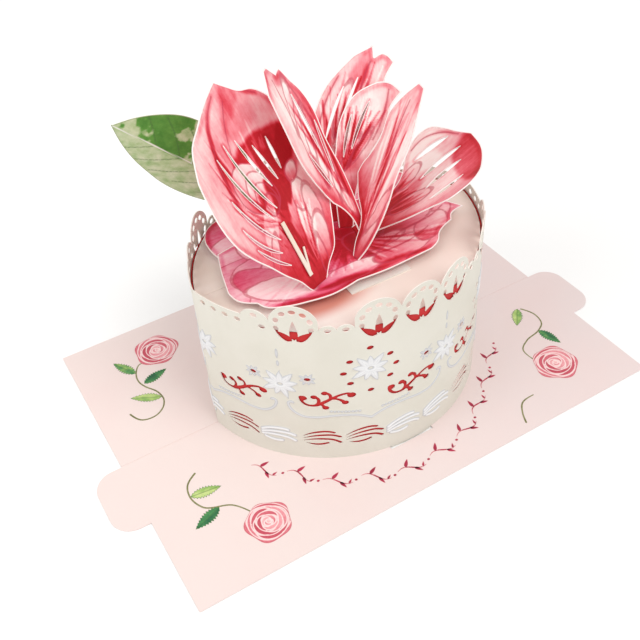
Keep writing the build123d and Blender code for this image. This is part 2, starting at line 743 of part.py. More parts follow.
if __name__ == "__main__":
    pieces = {
        "base_card": base_card(),
        "lace_band_front": lace_band(),
        "liner_band_front": liner_band(),
        "cake_top": cake_top(),
        "fold_rib": fold_rib(),
        "cross_rib_left": cross_rib(-1),
        "cross_rib_right": cross_rib(1),
        "riser_front": riser(),
        "riser_back": turned(riser()),
        "rosette_lower": layer(rosette_lower_shares, rosette_half_length, rosette_back, rosette_under),
        "rosette_upper": layer(rosette_upper_shares, rosette_half_length, rosette_front,
                               rosette_under + rosette_sheet),
        "left_petal": left_petal(),
        "slim_left_petal": slim_left_petal(),
        "back_petal_outer": back_petal_outer(),
        "back_petal_inner": back_petal_inner(),
        "slim_right_petal": slim_right_petal(),
        "right_petal": right_petal(),
        "stamen_strip": stamen_strip(),
        "leaf_upper": leaf_sheet(leaf_shares, 0),
        "leaf_under": leaf_sheet(leaf_under_shares, petal_sheet + stand_gap),
    }
    pieces["lace_band_back"] = turned(pieces["lace_band_front"])
    pieces["liner_band_back"] = turned(pieces["liner_band_front"])
    for name, shape in pieces.items():
        save(shape, name)
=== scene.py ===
import math

import bmesh
import bpy
import numpy as np
from mathutils import Matrix, Vector, kdtree
from mathutils.geometry import delaunay_2d_cdt


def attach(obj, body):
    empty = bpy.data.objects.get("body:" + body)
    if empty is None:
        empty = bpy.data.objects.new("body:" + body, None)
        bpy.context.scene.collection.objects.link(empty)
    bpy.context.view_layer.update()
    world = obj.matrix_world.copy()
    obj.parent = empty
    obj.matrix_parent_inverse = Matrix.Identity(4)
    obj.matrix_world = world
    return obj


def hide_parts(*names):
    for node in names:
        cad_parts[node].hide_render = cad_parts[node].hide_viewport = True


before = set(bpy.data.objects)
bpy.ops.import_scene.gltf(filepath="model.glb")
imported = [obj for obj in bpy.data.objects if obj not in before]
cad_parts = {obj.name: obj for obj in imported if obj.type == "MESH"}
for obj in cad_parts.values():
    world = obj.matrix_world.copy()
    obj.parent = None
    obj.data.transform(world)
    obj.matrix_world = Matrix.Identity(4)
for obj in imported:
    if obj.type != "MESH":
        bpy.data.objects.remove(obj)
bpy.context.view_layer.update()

# The scene dresses an open pop up card. Sheet outlines are drawn in millimetres on their own
# planes and bent into place, and meshes are written in metres.
MM = 0.001

# Sizes that follow the solids
card_sheet = 0.5
band_half_length = 62.0
band_depth = 51.0
band_radius = (band_half_length ** 2 + band_depth ** 2) / (2 * band_depth)
band_centre = band_radius - band_depth
crease_arc = band_radius * math.asin(band_half_length / band_radius)
lace_sheet = 0.4
seam_gap = 0.2
lid_height = 67.0
petal_sheet = 0.35
rosette_sheet = 0.35
stand_gap = 0.25
riser_height = 3.0
lid_top = card_sheet + lid_height
rosette_under = lid_top + riser_height
stand_height = rosette_under + 2 * rosette_sheet + stand_gap

# Spacings of the meshes in millimetres
band_spacing = 1.9
relief_spacing = 0.42
petal_spacing = 0.46
rosette_spacing = 0.6
leaf_spacing = 0.8


# Curves and outlines

def smooth_run(points, step):
    """Points along a smooth curve through the given ones, without the last. Two points make a line."""
    given = np.array(points, float)
    chords = np.linalg.norm(np.diff(given, axis=0), axis=1)
    slopes = np.diff(given, axis=0) / chords[:, None]
    if len(given) == 2:
        tangents = np.vstack([slopes, slopes])
    else:
        before, after = chords[:-1, None], chords[1:, None]
        middle = (slopes[:-1] * after + slopes[1:] * before) / (before + after)
        first = (3 * slopes[0] - middle[0]) / 2
        last = (3 * slopes[-1] - middle[-1]) / 2
        tangents = np.vstack([first, middle, last])
    found = []
    for k, chord in enumerate(chords):
        count = max(1, math.ceil(chord / step))
        t = (np.arange(count) / count)[:, None]
        found.append(
            (2 * t ** 3 - 3 * t ** 2 + 1) * given[k] + (t ** 3 - 2 * t ** 2 + t) * chord * tangents[k]
            + (3 * t ** 2 - 2 * t ** 3) * given[k + 1] + (t ** 3 - t ** 2) * chord * tangents[k + 1]
        )
    return np.vstack(found)


def closed_outline(runs, size, step=0.8):
    """Smooth runs joined at corners. Each starts where the one before it ends."""
    starts = [run[-1] for run in (runs[-1], *runs[:-1])]
    return np.vstack([smooth_run(np.array([start, *run]) * size, step) for start, run in zip(starts, runs)])


def open_curve(points, step):
    """Points along a smooth curve, the last one included."""
    return np.vstack([smooth_run(points, step), [points[-1]]])


def line_distance(points, line):
    """Distance to a polyline, and how far along it the nearest place is, from 0 to 1."""
    best = np.full(len(points), 1e9)
    share = np.zeros(len(points))
    count = len(line) - 1
    for k, (a, b) in enumerate(zip(line[:-1], line[1:])):
        run = b - a
        t = np.clip(((points - a) @ run) / (run @ run + 1e-12), 0, 1)
        away = np.hypot(points[:, 0] - a[0] - t * run[0], points[:, 1] - a[1] - t * run[1])
        nearer = away < best
        best = np.where(nearer, away, best)
        share = np.where(nearer, (k + t) / count, share)
    return best, share


def oval(length, width, count=16):
    turn = np.arange(count) * 2 * math.pi / count
    return np.stack([length / 2 * np.cos(turn), width / 2 * np.sin(turn)], 1)


def turned(points, degrees):
    """The points turned about the origin, anticlockwise."""
    a = math.radians(degrees)
    return points @ np.array([[math.cos(a), math.sin(a)], [-math.sin(a), math.cos(a)]])


def mirrored(length, half):
    """A closed outline along x with the same half widths on both sides."""
    t = np.linspace(0, 1, len(half))
    upper = np.stack([t * length, half], 1)
    return np.vstack([upper, upper[-2:0:-1] * [1, -1]])


def leaf_shape(length, width):
    """A pointed leaf from the origin along x, widest before its middle."""
    t = np.linspace(0, 1, 9)
    return mirrored(length, width / 2 * np.sin(math.pi * t ** 0.62) ** 0.8)


def stroke(points, widths, step=0.5):
    """A closed outline of changing width along a smooth centre line, with round ends."""
    line = open_curve(points, step)
    share = np.linspace(0, 1, len(line))
    half = np.interp(share, np.linspace(0, 1, len(widths)), widths) / 2
    along = np.gradient(line, axis=0)
    along /= np.linalg.norm(along, axis=1)[:, None]
    side = np.stack([-along[:, 1], along[:, 0]], 1) * half[:, None]
    ends = []
    for at, way in ((-1, 1), (0, -1)):
        turn = np.radians(np.linspace(60, -60, 3))[:, None]
        ends.append(line[at] + way * (along[at] * np.cos(turn) * half[at] + side[at] * np.sin(turn)))
    return np.vstack([line + side, ends[0], (line - side)[::-1], ends[1]])


# Sheets of card as closed meshes

def add_object(name, data):
    made = bpy.data.objects.new(name, data)
    bpy.context.scene.collection.objects.link(made)
    return made


def inside(points, loop):
    """Which points lie inside a closed loop."""
    low, high = loop.min(0), loop.max(0)
    found = np.zeros(len(points), bool)
    near = np.nonzero(((points > low) & (points < high)).all(1))[0]
    if len(near):
        px, py = points[near, 0][:, None], points[near, 1][:, None]
        a, b = loop, np.roll(loop, -1, 0)
        rise = np.where(b[:, 1] == a[:, 1], 1e-12, b[:, 1] - a[:, 1])
        crossing = (a[:, 1] > py) != (b[:, 1] > py)
        at = (b[:, 0] - a[:, 0]) * (py - a[:, 1]) / rise + a[:, 0]
        found[near] = (crossing & (px < at)).sum(1) % 2 == 1
    return found


def in_sheet(points, outer, holes):
    kept = inside(points, outer)
    for hole in holes:
        kept &= ~inside(points, hole)
    return kept


def grid(low, high, spacing):
    """A triangular grid of points over a rectangle."""
    rows = np.arange(low[1], high[1], spacing * 0.866)
    columns = np.arange(low[0], high[0], spacing)
    x, y = np.meshgrid(columns, rows)
    x = x + (np.arange(len(rows)) % 2)[:, None] * spacing / 2
    return np.stack([x.ravel(), y.ravel()], 1)


def tree_of(loops, step=0.2):
    """A search tree of points set closely along some closed loops."""
    samples = []
    for loop in loops:
        for a, b in zip(loop, np.roll(loop, -1, 0)):
            count = max(1, math.ceil(np.linalg.norm(b - a) / step))
            t = (np.arange(count) / count)[:, None]
            samples.append(a + (b - a) * t)
    samples = np.vstack(samples)
    tree = kdtree.KDTree(len(samples))
    for k, (x, y) in enumerate(samples):
        tree.insert((x, y, 0), k)
    tree.balance()
    return tree


def distances(tree, points):
    return np.array([tree.find((x, y, 0))[2] for x, y in points])


def main_patch(triangles, count):
    """The largest joined patch of triangles."""
    parent = list(range(count))

    def root_of(k):
        while parent[k] != k:
            parent[k] = parent[parent[k]]
            k = parent[k]
        return k

    for a, b, c in triangles.tolist():
        top = root_of(a)
        parent[root_of(b)] = top
        parent[root_of(c)] = top
    roots = np.array([root_of(a) for a in triangles[:, 0].tolist()])
    values, sizes = np.unique(roots, return_counts=True)
    return triangles[roots == values[sizes.argmax()]]


def triangulate(outer, holes, spacing, fine=None, fine_spacing=0.0):
    """Points and triangles that fill an outline with holes. fine says where the grid is closer."""
    loops = [outer, *holes]
    tree = tree_of(loops, spacing / 3)
    coarse = grid(outer.min(0), outer.max(0), spacing)
    if fine is not None:
        coarse = coarse[~fine(coarse)]
        close = grid(outer.min(0), outer.max(0), fine_spacing)
        close = close[fine(close)]
        close = close[in_sheet(close, outer, holes)]
        close = close[distances(tree, close) > 0.5 * fine_spacing]
    else:
        close = np.zeros((0, 2))
    coarse = coarse[in_sheet(coarse, outer, holes)]
    coarse = coarse[distances(tree, coarse) > 0.45 * spacing]
    edges = []
    start = 0
    for loop in loops:
        count = len(loop)
        edges += [(start + k, start + (k + 1) % count) for k in range(count)]
        start += count
    points = np.vstack([*loops, coarse, close])
    made = delaunay_2d_cdt([Vector(p) for p in points.tolist()], edges, [], 0, 1e-5, False)
    points = np.array([tuple(p) for p in made[0]])
    triangles = np.array(made[2])
    middles = points[triangles].mean(1)
    triangles = main_patch(triangles[in_sheet(middles, outer, holes)], len(points))
    used = np.unique(triangles)
    renumber = np.full(len(points), -1)
    renumber[used] = np.arange(len(used))
    return points[used], renumber[triangles]


def sheet_piece(name, points, triangles, place, thickness, relief=None):
    """A closed sheet: its face at place, with relief raised on it, and its back a thickness behind."""
    where, normal = place(points)
    raised = relief(points) if relief is not None else np.zeros(len(points))
    face = where + normal * raised[:, None]
    back = where - normal * thickness
    count = len(points)
    a, b, c = points[triangles[:, 0]], points[triangles[:, 1]], points[triangles[:, 2]]
    area = (b[:, 0] - a[:, 0]) * (c[:, 1] - a[:, 1]) - (b[:, 1] - a[:, 1]) * (c[:, 0] - a[:, 0])
    triangles = np.where((area < 0)[:, None], triangles[:, ::-1], triangles)
    sides = np.vstack([triangles[:, [0, 1]], triangles[:, [1, 2]], triangles[:, [2, 0]]])
    keys = sides[:, 0] * count + sides[:, 1]
    opposite = sides[:, 1] * count + sides[:, 0]
    rim = sides[~np.isin(keys, opposite)]
    quads = np.stack([rim[:, 1], rim[:, 0], rim[:, 0] + count, rim[:, 1] + count], 1)
    faces = triangles.tolist() + (triangles[:, ::-1] + count).tolist() + quads.tolist()
    mesh = bpy.data.meshes.new(name)
    mesh.from_pydata((np.vstack([face, back]) * MM).tolist(), [], faces)
    kinds = np.repeat([0, 1, 2], [len(triangles), len(triangles), len(quads)]).astype(np.int32)
    mesh.polygons.foreach_set("material_index", kinds)
    mesh.polygons.foreach_set("use_smooth", np.ones(len(faces), bool))
    ends = np.zeros(len(mesh.edges) * 2, np.int32)
    mesh.edges.foreach_get("vertices", ends)
    ends = np.sort(ends.reshape(-1, 2), 1)
    rim_keys = np.sort(rim, 1)
    wanted = np.concatenate([rim_keys[:, 0] * 2 * count + rim_keys[:, 1],
                             (rim_keys[:, 0] + count) * 2 * count + rim_keys[:, 1] + count])
    sharp = mesh.attributes.new("sharp_edge", "BOOLEAN", "EDGE")
    sharp.data.foreach_set("value", np.isin(ends[:, 0] * 2 * count + ends[:, 1], wanted))
    return add_object(name, mesh)


def write_field(piece, name, *columns):
    """Stores three numbers for each point of a sheet, on its face and on its back."""
    both = np.tile(np.stack(columns, 1), (2, 1)).astype(np.float32)
    if len(both) != len(piece.data.vertices):
        raise ValueError(f"{piece.name} has {len(piece.data.vertices)} points, not {len(both)}")
    layer = piece.data.attributes.new(name, "FLOAT_VECTOR", "POINT")
    layer.data.foreach_set("vector", both.ravel())


def trim_foot(piece, height):
    """Cuts a standing sheet level, as its solid is."""
    work = bmesh.new()
    work.from_mesh(piece.data)
    parts = list(work.verts) + list(work.edges) + list(work.faces)
    cut = bmesh.ops.bisect_plane(work, geom=parts, dist=1e-7, plane_co=(0, 0, height * MM),
                                 plane_no=(0, 0, 1), clear_inner=True)
    ring = [g for g in cut["geom_cut"] if isinstance(g, bmesh.types.BMEdge)]
    made = bmesh.ops.holes_fill(work, edges=ring, sides=0)
    for face in made["faces"]:
        face.material_index = 2
    work.to_mesh(piece.data)
    work.free()


# Noise for washes of colour, the same on each run

noise_cells = 64


def value_noise(points, size, seed):
    """Smooth noise from a grid of random values."""
    table = np.random.RandomState(seed).rand(noise_cells, noise_cells)
    at = points / size
    cell = np.floor(at).astype(int)
    part = at - cell
    part = part * part * (3 - 2 * part)
    x0, y0 = cell[:, 0] % noise_cells, cell[:, 1] % noise_cells
    x1, y1 = (x0 + 1) % noise_cells, (y0 + 1) % noise_cells
    low = table[x0, y0] * (1 - part[:, 0]) + table[x1, y0] * part[:, 0]
    high = table[x0, y1] * (1 - part[:, 0]) + table[x1, y1] * part[:, 0]
    return low * (1 - part[:, 1]) + high * part[:, 1]


def cloud(points, size, seed):
    """Soft noise from about 0 to 1, in four finer and fainter steps."""
    total = np.zeros(len(points))
    weight = 0.0
    for k in range(4):
        total += value_noise(points * 2 ** k + 17.3 * k, size, seed + k) * 0.5 ** k
        weight += 0.5 ** k
    return total / weight


def step_between(low, high, x):
    """A smooth step from 0 at one number to 1 at another."""
    t = np.clip((x - low) / (high - low), 0, 1)
    return t * t * (3 - 2 * t)


# Materials

# Where the painted red shade under the flower's front edge lies on the lid, and how far it reaches, in metres
painted_red_shade_place = (-0.024, -0.028)
painted_red_shade_reach = (0.027, 0.0095)


class Nodes:
    """A small helper that wires one material."""

    def __init__(self, name):
        self.material = bpy.data.materials.new(name)
        self.material.use_nodes = True
        self.tree = self.material.node_tree
        self.shader = self.tree.nodes["Principled BSDF"]

    def add(self, kind, **settings):
        node = self.tree.nodes.new(kind)
        for key, value in settings.items():
            setattr(node, key, value)
        return node

    def link(self, source, target):
        self.tree.links.new(source, target)

    def feed(self, target, value):
        """Links a socket, or sets a number or a colour."""
        if hasattr(value, "links"):
            self.link(value, target)
        else:
            target.default_value = (*value, 1) if isinstance(value, tuple) else value

    def math(self, operation, a, b=0.0, c=0.0, clamp=False):
        node = self.add("ShaderNodeMath", operation=operation, use_clamp=clamp)
        for socket, value in zip(node.inputs, (a, b, c)):
            self.feed(socket, value)
        return node.outputs[0]

    def split(self, vector):
        """The three numbers of a vector."""
        node = self.add("ShaderNodeSeparateXYZ")
        self.link(vector, node.inputs[0])
        return node.outputs

    def field(self, name):
        """The numbers that the mesh stores for its points."""
        node = self.add("ShaderNodeAttribute", attribute_name=name, attribute_type="GEOMETRY")
        return node.outputs["Vector"]

    def place(self):
        return self.add("ShaderNodeTexCoord").outputs["Object"]

    def scaled(self, vector, scale):
        node = self.add("ShaderNodeVectorMath", operation="MULTIPLY")
        self.link(vector, node.inputs[0])
        node.inputs[1].default_value = scale
        return node.outputs[0]

    def noise(self, vector, scale, detail=3.0, roughness=0.55):
        node = self.add("ShaderNodeTexNoise")
        self.link(vector, node.inputs["Vector"])
        node.inputs["Scale"].default_value = scale
        node.inputs["Detail"].default_value = detail
        node.inputs["Roughness"].default_value = roughness
        return node.outputs["Fac"]

    def between(self, value, low, high):
        """A smooth step from 0 at one number to 1 at another."""
        node = self.add("ShaderNodeMapRange", interpolation_type="SMOOTHSTEP")
        self.link(value, node.inputs["Value"])
        node.inputs["From Min"].default_value = low
        node.inputs["From Max"].default_value = high
        return node.outputs["Result"]

    def mix(self, share, first, second):
        node = self.add("ShaderNodeMix", data_type="RGBA")
        for k, value in ((0, share), (6, first), (7, second)):
            self.feed(node.inputs[k], value)
        return node.outputs[2]

    def over(self, base, colour, mask, strength=1.0):
        """A colour laid over another one where a mask says, at a strength."""
        share = mask if strength == 1.0 else self.math("MULTIPLY", mask, strength)
        return self.mix(share, base, colour)

    def stirred(self, tone, noise, amount, clamp=False):
        """A tone that noise pulls up and down."""
        return self.math("ADD", tone, self.math("MULTIPLY_ADD", noise, amount, -amount / 2), clamp=clamp)

    def fibres(self, tone, colour, strength, scale=1400.0):
        return self.over(tone, colour, self.noise(self.place(), scale, 2.0), strength)

    def ramp(self, value, stops):
        node = self.add("ShaderNodeValToRGB")
        self.link(value, node.inputs["Fac"])
        marks = node.color_ramp.elements
        while len(marks) < len(stops):
            marks.new(0.5)
        for mark, (at, colour) in zip(marks, stops):
            mark.position = at
            mark.color = (*colour, 1)
        return node.outputs["Color"]

    def finish(self, colour, roughness=0.5, grain=0.12, specular=0.3):
        """Sets the colour and a fine paper grain."""
        self.feed(self.shader.inputs["Base Color"], colour)
        self.shader.inputs["Roughness"].default_value = roughness
        self.shader.inputs["Specular IOR Level"].default_value = specular
        bump = self.add("ShaderNodeBump")
        bump.inputs["Strength"].default_value = grain
        bump.inputs["Distance"].default_value = 0.0001
        self.link(self.noise(self.place(), 900.0, 4.0), bump.inputs["Height"])
        self.link(bump.outputs["Normal"], self.shader.inputs["Normal"])
        return self.material


def shaded(colour, share):
    return tuple(c * share for c in colour)


def plain_card(name, colour, shade, roughness=0.6, mottle=60.0):
    """Card of one colour with soft clouds in it and a fine fibre grain."""
    nodes = Nodes(name)
    clouds = nodes.between(nodes.noise(nodes.place(), mottle, 4.0), 0.35, 0.7)
    tone = nodes.mix(clouds, colour, shade)
    return nodes.finish(nodes.fibres(tone, shaded(shade, 0.86), 0.12), roughness)


def lace_card(name):
    """Ivory card whose embossed parts are paler, partly their own whiter colour and partly painted light: a
    painted cool shade at their feet and a painted highlight towards their tops.
    The print field's first number is the height of the relief in millimetres."""
    nodes = Nodes(name)
    relief = nodes.split(nodes.field("print"))[0]
    clouds = nodes.between(nodes.noise(nodes.place(), 45.0, 4.0), 0.35, 0.7)
    tone = nodes.mix(clouds, (0.69, 0.67, 0.60), (0.655, 0.635, 0.56))
    tone = nodes.fibres(tone, (0.56, 0.52, 0.45), 0.1, 1500.0)
    # painted shade at the feet of the relief and painted highlight on its tops, set by the relief's height
    painted_relief_shading = nodes.ramp(nodes.math("MULTIPLY", relief, 2.0), [
        (0.0, (0.57, 0.57, 0.56)), (0.22, (0.47, 0.475, 0.49)),
        (0.55, (0.64, 0.645, 0.66)), (0.95, (0.82, 0.825, 0.83)),
    ])
    return nodes.finish(nodes.mix(nodes.between(relief, 0.01, 0.09), tone, painted_relief_shading))


def blush_card(name):
    """Pale pink card with painted light, lighter and warmer at its left end and with painted shade towards
    its right, and with soft clouds and fibres.
    """
    nodes = Nodes(name)
    place = nodes.place()
    # painted light and shade: the card is painted lighter towards its left end and darker towards its right
    right = nodes.between(nodes.split(place)[0], -0.11, 0.09)
    tone = nodes.mix(right, (0.80, 0.68, 0.65), (0.765, 0.655, 0.645))
    clouds = nodes.between(nodes.noise(place, 16.0, 4.0), 0.4, 0.75)
    tone = nodes.over(tone, (0.80, 0.625, 0.605), clouds, 0.5)
    return nodes.finish(nodes.fibres(tone, (0.66, 0.52, 0.50), 0.1), 0.55)


def pearl_card(name):
    """Satin card with painted sheen that drifts in bands and painted light that brightens it to the left,
    with a warm red painted shade, tinted by light bounced from the petals, under the flower's front edge."""
    nodes = Nodes(name)
    place = nodes.place()
    x, y, _ = nodes.split(place)
    # painted sheen: bands of lighter and darker satin tone
    painted_sheen = nodes.between(nodes.noise(nodes.scaled(place, (0.5, 1.0, 1.0)), 24.0, 3.0), 0.38, 0.62)
    # painted light: the lid is made lighter towards its left, lifting it out of the flower's shadow
    left = nodes.between(x, 0.005, -0.035)
    light = nodes.mix(left, (0.84, 0.73, 0.66), (0.97, 0.91, 0.87))
    dark = nodes.mix(left, (0.78, 0.65, 0.575), (0.83, 0.72, 0.65))
    squares = [
        nodes.math("POWER", nodes.math("MULTIPLY_ADD", at, 1 / reach, -middle / reach), 2.0)
        for at, middle, reach in zip((x, y), painted_red_shade_place, painted_red_shade_reach)
    ]
    away = nodes.math("SQRT", nodes.math("ADD", *squares))
    # painted shade tinted red by light bounced from the petals, strongest under the flower's front edge
    tone = nodes.over(nodes.mix(painted_sheen, light, dark), (0.64, 0.17, 0.11), nodes.between(away, 1.0, 0.25), 0.85)
    return nodes.finish(tone, 0.36, specular=0.5)


def petal_print(name, paleness=0.0):
    """Watercolour print. The print field holds tone, and the distances in millimetres to a contour and to
    the cut edge. The sheet field holds the place on the sheet and how magenta it is."""
    nodes = Nodes(name)
    tone, line, edge = nodes.split(nodes.field("print"))
    sheet = nodes.field("sheet")
    streaks = nodes.noise(nodes.scaled(sheet, (0.12, 1.1, 1.0)), 1.0, 5.0, 0.62)
    blots = nodes.noise(nodes.scaled(sheet, (0.5, 0.5, 1.0)), 1.0, 5.0, 0.65)
    tone = nodes.stirred(nodes.stirred(tone, streaks, 0.26), blots, 0.22)
    tone = nodes.math("SUBTRACT", tone, paleness, clamp=True)
    magenta = nodes.split(sheet)[2]
    colour = nodes.mix(magenta, nodes.ramp(tone, petal_stops), nodes.ramp(tone, magenta_stops))
    drawn = nodes.math("MULTIPLY", nodes.between(line, 0.42, 0.18), nodes.between(blots, 0.1, 0.5))
    colour = nodes.over(colour, (0.50, 0.035, 0.075), drawn, 0.62)
    pigment = nodes.math("MULTIPLY", nodes.between(edge, 0.95, 0.5), nodes.between(blots, 0.35, 0.6))
    colour = nodes.over(colour, (0.6, 0.09, 0.13), pigment, 0.4)
    return nodes.finish(nodes.over(colour, (0.965, 0.9, 0.875), nodes.between(edge, 0.44, 0.28)))


def leaf_print(name, stops, border_width, border_colour, midrib_colour=None):
    """Printed leaf: a ramp of greens with blots, fine dark veins, a border and perhaps a pale midrib,
    whose distance in millimetres is the sheet field's last number."""
    nodes = Nodes(name)
    darkness, vein, edge = nodes.split(nodes.field("print"))
    sheet = nodes.field("sheet")
    blots = nodes.noise(nodes.scaled(sheet, (0.22, 0.3, 0.0)), 1.0, 5.0, 0.62)
    colour = nodes.ramp(nodes.stirred(darkness, blots, 0.9, True), stops)
    colour = nodes.over(colour, (0.06, 0.15, 0.04), nodes.between(vein, 0.5, 0.15), 0.6)
    if midrib_colour:
        colour = nodes.over(colour, midrib_colour, nodes.between(nodes.split(sheet)[2], 0.42, 0.22))
    border = nodes.between(edge, border_width, border_width * 0.6)
    return nodes.finish(nodes.over(colour, border_colour, border))


def rose_print(name):
    """A printed rose: pale lines between its petals and a fine dark line round it."""
    nodes = Nodes(name)
    tone, line, edge = nodes.split(nodes.field("print"))
    blots = nodes.noise(nodes.scaled(nodes.field("sheet"), (0.9, 0.9, 1.0)), 1.0, 4.0, 0.6)
    colour = nodes.ramp(nodes.stirred(tone, blots, 0.4, True), rose_stops)
    colour = nodes.over(colour, (0.94, 0.78, 0.76), nodes.between(line, 0.32, 0.1), 0.8)
    return nodes.finish(nodes.over(colour, (0.5, 0.1, 0.12), nodes.between(edge, 0.3, 0.15), 0.5))


def ink_print(name, colour, halo):
    """A printed line with a paler halo at its edge."""
    nodes = Nodes(name)
    tone, _, edge = nodes.split(nodes.field("print"))
    body = nodes.mix(nodes.between(tone, 0.2, 0.8), colour, shaded(colour, 1.5))
    return nodes.finish(nodes.over(body, halo, nodes.between(edge, 0.15, 0.05)))


def cut_edge(name, colour):
    """The bare core of the card at a cut, slightly uneven."""
    nodes = Nodes(name)
    uneven = nodes.noise(nodes.place(), 700.0, 3.0)
    return nodes.finish(nodes.mix(uneven, shaded(colour, 0.9), colour), 0.7)


petal_stops = [
    (0.0, (0.95, 0.82, 0.79)), (0.2, (0.92, 0.60, 0.60)), (0.42, (0.83, 0.29, 0.33)),
    (0.64, (0.72, 0.085, 0.12)), (0.84, (0.58, 0.014, 0.028)), (1.0, (0.42, 0.005, 0.012)),
]
magenta_stops = [
    (0.0, (0.95, 0.81, 0.82)), (0.2, (0.92, 0.58, 0.65)), (0.42, (0.82, 0.27, 0.40)),
    (0.64, (0.71, 0.075, 0.19)), (0.84, (0.56, 0.014, 0.055)), (1.0, (0.38, 0.005, 0.018)),
]
rose_stops = [
    (0.0, (0.90, 0.62, 0.60)), (0.3, (0.80, 0.34, 0.37)),
    (0.6, (0.62, 0.13, 0.17)), (1.0, (0.44, 0.03, 0.06)),
]
leaf_stops = [
    (0.0, (0.63, 0.68, 0.48)), (0.25, (0.43, 0.55, 0.29)),
    (0.6, (0.11, 0.31, 0.05)), (1.0, (0.04, 0.18, 0.02)),
]
sprig_stops = [
    (0.0, (0.56, 0.66, 0.26)), (0.3, (0.32, 0.48, 0.13)),
    (0.65, (0.06, 0.24, 0.08)), (1.0, (0.02, 0.11, 0.05)),
]
card_pink = blush_card("card_pink")
lace_ivory = lace_card("lace_ivory")
lace_back = plain_card("lace_back", (0.80, 0.785, 0.705), (0.76, 0.74, 0.66), 0.55, 40.0)
lace_rim = cut_edge("lace_rim", (0.88, 0.85, 0.78))
liner_red = plain_card("liner_red", (0.53, 0.02, 0.021), (0.44, 0.014, 0.015))
lid_pearl = pearl_card("lid_pearl")
inner_card = plain_card("inner_card", (0.82, 0.78, 0.72), (0.76, 0.72, 0.66))
stamen_card = plain_card("stamen_card", (0.86, 0.79, 0.69), (0.8, 0.7, 0.58))
petal_rim = cut_edge("petal_rim", (0.92, 0.84, 0.82))
petal_sides = [petal_print("petal_front"), petal_print("petal_back", 0.1), petal_rim]
leaf_front = leaf_print("leaf_front", leaf_stops, 0.35, (0.30, 0.38, 0.20), (0.72, 0.76, 0.66))
leaf_rim = cut_edge("leaf_rim", (0.85, 0.85, 0.76))
sprig_green = leaf_print("sprig_green", sprig_stops, 0.2, (0.10, 0.20, 0.07))
rose_ink = rose_print("rose_ink")
stem_ink = ink_print("stem_ink", (0.13, 0.13, 0.045), (0.26, 0.25, 0.12))
red_ink = ink_print("red_ink", (0.30, 0.02, 0.05), (0.62, 0.25, 0.27))

for node, material in {
    "base_card": card_pink, "cake_top": lid_pearl, "stamen_strip": stamen_card,
    "liner_band_front": liner_red, "liner_band_back": liner_red, "fold_rib": inner_card,
    "cross_rib_left": inner_card, "cross_rib_right": inner_card,
    "riser_front": inner_card, "riser_back": inner_card,
}.items():
    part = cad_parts[node]
    part.data.materials.clear()
    part.data.materials.append(material)


def add_piece(piece, materials, slot, *nodes):
    """Gives a piece its materials, seats it on the body and lets it stand for its solids."""
    for material in materials:
        piece.data.materials.append(material)
    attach(piece, "root")
    if nodes:
        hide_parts(*nodes)


# The pierced and embossed lace bands, drawn on the flat strip: s along the arc, z up from the card

scallop_pitch = 17.3
scallop_spring = 73.0
scallop_rise = 6.5
low_lobe_width = 6.4
low_lobe_spring = 68.5
low_lobe_rise = 2.2
small_lobe_width = 11.0
small_lobe_spring = 71.5
small_lobe_rise = 4.0
flat_edge = 72.0
tab_half_length = 9.5
big_places = [0, scallop_pitch, scallop_pitch * 2 + 2 * low_lobe_width]
low_places = [scallop_pitch * 1.5 + low_lobe_width * step for step in (0.5, 1.5)]
small_place = big_places[2] + (scallop_pitch + small_lobe_width) / 2
flat_start = small_place + small_lobe_width / 2
strip_end = crease_arc - seam_gap / 2
pattern_shift = 3.0
star_offset = 13.0
star_pitch = 33.7
star_height = 44.5
star_stagger = 3.4
bar_pitch = 16.8
bar_height = 12.0
bar_length = 14.6
bar_stroke = 1.4
bar_offset_share = 0.4
cut_bar_steps = (-4, -2, -1, 2, 3)
raised_bar_steps = (-5, -3, 0, 1, 4, 5)
scroll_height = 33.0
scroll_half_length = 10.2
pattern_steps = (-2, -1, 0, 1)
eyelet_length = 2.7
eyelet_width = 2.1
eyelet_ring = 6.4
eyelet_ring_height = 70.4
low_eyelet_height = 68.4
small_eyelet_height = 73.1
flat_eyelet_height = 69.1
flat_eyelet_pitch = 5.4
palmette_foot = 62.6
palmette_gap = 0.95
palmette_width = 3.1
palmette_leaves = ((38, 7.6), (90, 9.3), (142, 7.6))
ball_length = 3.3
ball_width = 2.9


def both_sides(places):
    return sorted({side * place for place in places for side in (-1, 1)})


def arc_over(place, width, spring, rise):
    """The top of one lobe, from right to left."""
    half = width / 2
    radius = (half ** 2 + rise ** 2) / (2 * rise)
    reach = math.asin(min(1.0, half / radius))
    turn = np.linspace(reach, -reach, 18)
    return np.stack([place + radius * np.sin(turn), spring + rise - radius + radius * np.cos(turn)], 1)


def resampled(loop, step):
    """The same closed loop with its long edges divided, and points that repeat left out."""
    found = []
    for a, b in zip(loop, np.roll(loop, -1, 0)):
        length = np.linalg.norm(b - a)
        if length < 1e-6:
            continue
        count = max(1, math.ceil(length / step))
        found.append(a + (b - a) * (np.arange(count) / count)[:, None])
    return np.vstack(found)


